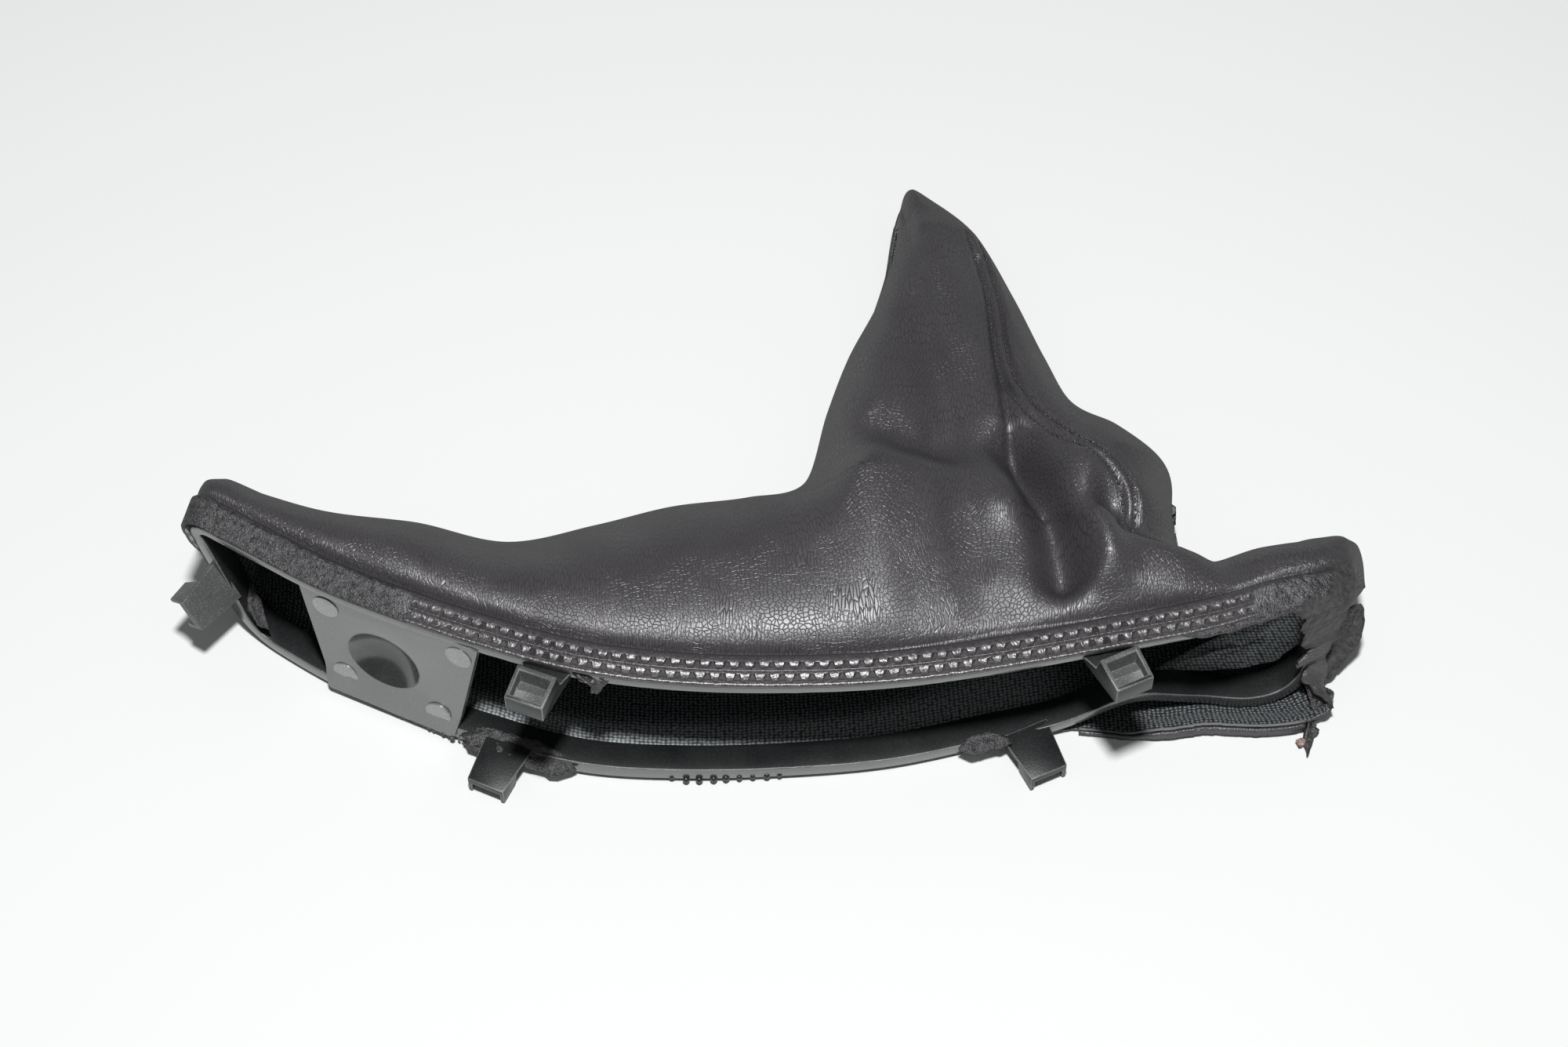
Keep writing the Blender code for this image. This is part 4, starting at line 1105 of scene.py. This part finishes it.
def collar_ring(materials):
    """The arched ring, with its moulded edges rounded off and worn a little lighter."""
    outline = np.array(frame_outline(steps=10))
    closed = np.vstack((outline, outline[:1]))
    lengths = lengths_along(closed)
    count = 320
    at = np.linspace(0, lengths[-1], count, endpoint=False)
    xs, zs = np.interp(at, lengths, closed[:, 0]), np.interp(at, lengths, closed[:, 1])
    verts, faces, kinds = [], [], []
    for i in range(count):
        x, z = xs[i], zs[i]
        dx, dz = xs[(i + 1) % count] - xs[i - 1], zs[(i + 1) % count] - zs[i - 1]
        length = math.hypot(dx, dz)
        ix, iz = dz / length, -dx / length
        upper = smooth(-RIM_BLEND, RIM_BLEND, -iz)
        rim = UPPER_RIM * upper + lower_rim(x) * (1 - upper)
        nx, ny = inward(x)
        nick = 0.12 * noise.noise(Vector((x * 0.5, z * 0.5, 0)))
        section = ((0, RIM_ROUND), (0.1, 0.1), (RIM_ROUND, 0), (rim - RIM_ROUND, 0),
                   (rim - 0.1, 0.1 + nick), (rim, RIM_ROUND), (COLLAR_WALL, RING_DEPTH - 0.2),
                   (COLLAR_WALL - 0.2, RING_DEPTH), (0, RING_DEPTH))
        for inset, depth in section:
            px, pz = x + ix * inset, z + iz * inset
            verts.append((px + nx * depth, front_y(px, pz) + ny * depth,
                          pz + sprung_lift(x, z)))
    size = len(section)
    for i in range(count):
        j = (i + 1) % count
        for k in range(size):
            m = (k + 1) % size
            faces.append((size * i + k, size * j + k, size * j + m, size * i + m))
            kinds.append(1 if k in (3, 4, 0, 1) else (2 if k == 2 else 0))
    return clean_up(finish_mesh("collar_ring", verts, faces, materials, face_materials=kinds),
                    sharp=40)


def plate_axes():
    """Origin and axes of the bridge plate's face: along, up and into it."""
    middle = FRAME_BOTTOM + FRAME_HEIGHT / 2
    x = PLATE_CENTRE_X
    half = (PLATE_TOP[1] - PLATE_TOP[0]) / 2
    rise = front_y(x + half, middle) - front_y(x - half, middle)
    along = Vector((2 * half, rise, 0)).normalized()
    lean = Vector((0, front_y(x, FRAME_TOP) - front_y(x, FRAME_BOTTOM), FRAME_HEIGHT))
    up = (lean - along * lean.dot(along)).normalized()
    into = along.cross(up).normalized() * -1
    nx, ny = inward(x)
    origin = Vector((x + nx * PLATE_SETBACK, front_y(x, middle) + ny * PLATE_SETBACK, middle))
    return origin, along, up, into


def plate_foot(b):
    """How far the plate steps forward near its foot, b above its middle."""
    return 1.8 * float(1 - smooth(-22, -13, b))


def way_to_border(start, direction, corners):
    """How far it is from start to the plate's border in a direction."""
    best = 1e9
    for a, b in zip(corners, corners[1:] + corners[:1]):
        edge, to = b - a, a - start
        det = direction.x * -edge.y + edge.x * direction.y
        if abs(det) > 1e-9:
            t = (to.x * -edge.y + edge.x * to.y) / det
            s = (direction.x * to.y - direction.y * to.x) / det
            if t > 0 and -1e-6 <= s <= 1 + 1e-6:
                best = min(best, t)
    return best


def bridge_plate(materials):
    """The flat plate with its round dimple, as rings from the dimple's middle out to
    the plate's edge, front and back."""
    origin, along, up, into = plate_axes()
    top = FRAME_HEIGHT / 2 - UPPER_RIM / 2
    low = FRAME_HEIGHT / 2 - 1.2
    corners = [Vector(((x - PLATE_CENTRE_X) / along.x, y))
               for x, y in ((PLATE_BOTTOM[0], -low), (PLATE_BOTTOM[1], -low),
                            (PLATE_TOP[1], top), (PLATE_TOP[0], top))]
    middle = Vector(DIMPLE_OFFSET)
    rim = DIMPLE_DIAMETER / 2
    bowl = (rim ** 2 + DIMPLE_DEPTH ** 2) / (2 * DIMPLE_DEPTH)
    sides, bowl_rings, lip = 128, 14, rim + 0.8
    inner = [rim * k / bowl_rings for k in range(bowl_rings + 1)] + [rim + 0.35, lip]
    verts = []
    for wall in (0.0, PLATE_THICKNESS):
        for r, outer in [(r, None) for r in inner] + [(None, 0.5), (None, 1.0)]:
            for c, s in spokes(sides):
                direction = Vector((c, s))
                reach = r
                if r is None:
                    reach = lip + (way_to_border(middle, direction, corners) - lip) * outer
                depth = 0.0
                if reach < rim:
                    depth = math.sqrt(bowl ** 2 - reach ** 2) - (bowl - DIMPLE_DEPTH)
                elif reach < rim + 0.5:
                    depth = 0.12
                p = middle + direction * reach
                depth += wall - plate_foot(p.y)
                verts.append(origin + along * p.x + up * p.y + into * depth)
    rings = len(inner) + 2
    faces = quads(rings, sides) + quads(rings, sides, rings * sides)
    # the bowl's faces take the darker dimple plastic, as painted shade in the hollow
    kinds = [3 if k < bowl_rings * sides else (1 if k < (bowl_rings + 1) * sides else 2)
             for k in range(len(faces))]
    front, back = (rings - 1) * sides, (2 * rings - 1) * sides
    for k in range(sides):
        m = (k + 1) % sides
        faces.append((front + k, front + m, back + m, back + k))
        kinds.append(1)
    return clean_up(finish_mesh("bridge_plate", verts, faces, materials, face_materials=kinds),
                    merge=0.01, sharp=35)


def ejector_marks(material):
    """The four round marks that the mould's ejector pins have left on the plate."""
    origin, along, up, into = plate_axes()
    radius, sides = EJECTOR_DIAMETER / 2, 40
    rings = ((radius, -0.6), (radius, 0.3), (radius - 0.3, 0.4), (0.02, 0.35))
    verts, faces = [], []
    for a, b in EJECTOR_MARKS:
        faces += quads(len(rings), sides, len(verts))
        for size, out in rings:
            verts += [origin + along * (a + size * c) + up * (b + size * s)
                      - into * (plate_foot(b) + out) for c, s in spokes(sides)]
    return clean_up(finish_mesh("ejector_marks", verts, faces, (material,)), sharp=50)


def prism(name, outline, low, high, axes):
    """Extrude a flat outline. axes is (origin, along, up, through)."""
    origin, along, up, through = axes
    verts = [origin + along * a + up * b + through * c
             for c in (low, high) for a, b in outline]
    n = len(outline)
    faces = [tuple(range(n)), tuple(range(2 * n - 1, n - 1, -1))]
    faces += [(k, k + n, (k + 1) % n + n, (k + 1) % n) for k in range(n)]
    return clean_up(finish_mesh(name, verts, faces))


def snap_clip(name, materials, base, out, across, hook, rail):
    """A snap clip: a flared plate with a hollow hook. The pocket in the hook has a
    roof-shaped floor; on the lower clips it is open at the tip."""
    half = CLIP_WIDTH / 2
    crest, nose = CLIP_HOOKS[rail]
    closed = rail == "upper"
    step = CLIP_STEPS[rail]
    profile = ((-CLIP_ROOT, 0), (CLIP_LENGTH, 0), (CLIP_LENGTH, nose),
               (step[1], crest), (step[0], CLIP_PLATE), (-CLIP_ROOT, CLIP_PLATE))
    axes = (base, out, hook, across)
    body = prism(name, profile, -half, half, axes)
    start, stop = step[1] + CLIP_WALL, CLIP_LENGTH - (CLIP_WALL if closed else -2.0)
    ridge = (start + CLIP_LENGTH - CLIP_WALL) / 2
    floor, above = CLIP_PLATE + 0.6, crest + 2
    pocket = ((start, above), (start + 0.6, floor), (ridge, CLIP_PLATE + 1.7),
              (CLIP_LENGTH - CLIP_WALL - 0.4, floor),
              (stop, CLIP_PLATE + 1.2 if closed else floor), (stop, above))
    inside = half - CLIP_WALL
    cutter = prism("pocket", pocket, -inside, inside, axes)
    cut = body.modifiers.new("pocket", "BOOLEAN")
    cut.operation = "DIFFERENCE"
    cut.object = cutter
    cut.solver = "EXACT"
    apply_modifiers(body)
    bpy.data.objects.remove(cutter)
    centre = Vector(PLACE) + base
    for v in body.data.vertices:
        p = v.co / MM - centre
        a, b, c = p.dot(out), p.dot(hook), p.dot(across)
        flare = (1 + CLIP_FLARE * (1 - min(max(a / step[0], 0), 1))
                 - CLIP_TAPER * a / CLIP_LENGTH)
        v.co = (centre + out * a + hook * b + across * (c * flare)) * MM
    body.data.materials.clear()
    for mat in materials:
        body.data.materials.append(mat)
    for face in body.data.polygons:
        p = face.center / MM - centre
        in_pocket = (start - 0.1 < p.dot(out) < stop + 0.1 and abs(p.dot(across)) < inside + 0.3
                     and CLIP_PLATE + 0.3 < p.dot(hook) < crest - 0.6)
        # the pockets of the closed hooks take the fifth material, the lighter plastic that paints
        # sheen in them
        face.material_index = 4 if in_pocket and closed else 0
    edge = body.modifiers.new("worn_edges", "BEVEL")
    edge.width = CLIP_EDGE * MM
    edge.segments = 2
    edge.limit_method = "ANGLE"
    edge.angle_limit = math.radians(28)
    edge.material = 1
    apply_modifiers(body)
    body.data.shade_smooth()
    return clean_up(body, sharp=42)


def outward_at(yaw):
    """The level direction in which a clip points, yaw degrees off the frame's front."""
    a = math.radians(yaw)
    return Vector((-math.sin(a), -math.cos(a), 0))


def clip_places():
    """Base, outward, across and hook directions of the five clips, and their kind."""
    places = []
    for x, rail, yaw in CLIPS:
        if rail == "upper":
            z, hook = FRAME_TOP - UPPER_RIM - CLIP_PROUD, Vector((0, 0, 1))
        else:
            z, hook = FRAME_BOTTOM + lower_rim(x) + CLIP_PROUD, Vector((0, 0, -1))
        out = outward_at(yaw)
        places.append((Vector((x, front_y(x, z), z)), out, out.cross(hook), hook, rail))
    out, tilt = outward_at(END_CLIP_YAW), math.radians(END_CLIP_TILT)
    level = Vector((-out.y, out.x, 0))
    across = level * math.cos(tilt) - Vector((0, 0, 1)) * math.sin(tilt)
    hook = across.cross(out).normalized()
    if hook.z > 0:
        hook = -hook
    down = (FRAME_TOP - END_CLIP_HEIGHT) / FRAME_HEIGHT
    x = FRAME_LEFT_TOP + (FRAME_LEFT_BOTTOM - FRAME_LEFT_TOP) * down + END_CLIP_INSET
    places.append((Vector((x, front_y(x, END_CLIP_HEIGHT), END_CLIP_HEIGHT)), out, across,
                   hook, "lower"))
    return places


def join(name, pieces):
    """Several meshes as one piece, keeping the materials of the first."""
    with bpy.context.temp_override(active_object=pieces[0], selected_editable_objects=pieces):
        bpy.ops.object.join()
    pieces[0].name = name
    return pieces[0]


def carrier_moulding(materials):
    """The whole carrier frame: collar ring, bridge plate and clips are one moulding."""
    pieces = [collar_ring(materials), bridge_plate(materials)]
    plastic, worn_edge, face, satin, sheen_plastic = materials
    places = clip_places()
    pieces += [snap_clip("clip", materials, *place) for place in places[:-1]]
    # the far-left clip is drawn all in the lighter plastic, as painted sheen
    pieces.append(snap_clip("clip", (sheen_plastic, worn_edge, face, satin, plastic), *places[-1]))
    return join("carrier_moulding", pieces)


def camera():
    """The photograph's view: from in front and high up, square to the frame's length."""
    elevation = math.radians(VIEW_ELEVATION)
    aim = Vector(PLACE * MM) + Vector((0, 0, VIEW_AIM_HEIGHT))
    back = Vector((0, -math.cos(elevation), math.sin(elevation)))
    side = Vector((1, 0, 0))
    data = bpy.data.cameras.new("camera")
    data.sensor_width = SENSOR_WIDTH
    data.lens = SENSOR_WIDTH * VIEW_FOCAL_LENGTH
    data.clip_start = 0.01
    obj = placed("camera", data)
    obj.matrix_world = Matrix.Translation(aim + back * VIEW_DISTANCE) @ Matrix(
        (side, back.cross(side), back)).transposed().to_4x4()
    bpy.context.scene.camera = obj


def studio():
    """A white table, one lamp high overhead and a dim, even room."""
    half = 3.0
    mesh = bpy.data.meshes.new("table")
    mesh.from_pydata([(-half, -half, 0), (half, -half, 0), (half, half, 0), (-half, half, 0)],
                     [], [(0, 1, 2, 3)])
    mat, tree = new_material("white_board")
    shader = add(tree, "ShaderNodeBsdfDiffuse", {"Color": hex_colour("#f7f9f8")})
    add(tree, "ShaderNodeOutputMaterial", {"Surface": shader})
    mesh.materials.append(mat)
    placed("table", mesh)
    data = bpy.data.lights.new("key_lamp", "AREA")
    data.shape = "DISK"
    data.size = LAMP_SIZE
    data.energy = LAMP_POWER
    lamp = placed("key_lamp", data)
    lamp.location = LAMP_SPOT
    lamp.rotation_euler = (-Vector(LAMP_SPOT)).to_track_quat("-Z", "Y").to_euler()
    world = bpy.data.worlds.new("room")
    world.use_nodes = True
    bpy.context.scene.world = world
    background = world.node_tree.nodes["Background"]
    background.inputs["Color"].default_value = (1, 1, 1, 1)
    background.inputs["Strength"].default_value = ROOM_LIGHT
    bpy.context.scene.view_settings.view_transform = "Standard"


def main():
    camera()
    studio()
    leather, knit = leatherette(), knit_backing()
    plastic = moulded_plastic("moulded_polypropylene", "#1b1d1e", "#272929", 0.4, 0.12)
    worn_edge = moulded_plastic("worn_plastic_edge", "#4e5051", "#747676", 0.4, 0.05)
    dusty_face = moulded_plastic("polished_plastic_face", "#343535", "#434444", 0.24, 0.02, 2.35)
    mark = moulded_plastic("ejector_mark", "#6e6f6f", "#7e7f7f", 0.3, 0.01, 2.35)
    # a darker copy of the plate face's plastic for the dimple's bowl: painted shade in the
    # hollow, with a satin gloss of its own
    dimple = moulded_plastic("satin_dimple_painted_shade", "#242626", "#323434", 0.22, 0.02, 1.9)
    # a lighter copy of the black clip plastic, for the closed hooks' pockets and the far-left
    # clip: painted sheen
    sheen_plastic = moulded_plastic("clip_painted_sheen", "#4a4c4c", "#5e6060", 0.45, 0.1)
    thread = plain_material("bonded_polyester_thread", "#3b3a3c", 0.35)
    sheet = gaiter_sheet((leather, knit))
    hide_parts("gaiter")
    melted = melted_skin()
    knurl = weld_knurl(melted)
    lands = weld_lands(melted)
    stitches = seam_stitches(surface_tree(sheet), thread)
    moulding = carrier_moulding((plastic, worn_edge, dusty_face, dimple, sheen_plastic))
    torn = torn_bits(leather, knit)
    beads = weld_beads(moulded_plastic("weld_flash", "#222324", "#303132", 0.2, 0.02))
    crumbs = weld_crumbs(melted)
    hem = hem_edge()
    fray = hem_fray(hem, plain_material("cracked_coating", "#747576", 0.6))
    skirt = hem_skirt(hem, leather)
    # the inner fold's knit is all in the lighter yarn, painted light where the lamp reaches into
    # the right end
    inner = torn_scrap("inner_fold", INNER_FOLD, (knit,), thickness=0.8, crumple=0.8, seed=31.0)
    amber = plain_material("amber_adhesive", "#b0713f", 0.25)
    pale = plain_material("pale_adhesive", "#8d7570", 0.4)
    glue = join("adhesive_rest", [
        torn_scrap("glue", GLUE, (amber,), thickness=1.0, crumple=0.9, seed=21.0),
        torn_scrap("glue", GLUE_LOW, (pale,), thickness=0.7, crumple=0.6, seed=22.0)])
    marks = ejector_marks(mark)
    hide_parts("carrier_frame")
    soft = (sheet, knurl, lands, stitches, torn, fray, skirt, crumbs, inner, glue)
    for pieces, slot in ((soft, "leatherette"), ((moulding, marks, beads), "moulded_plastic")):
        for piece in pieces:
            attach(piece, "root")


main()
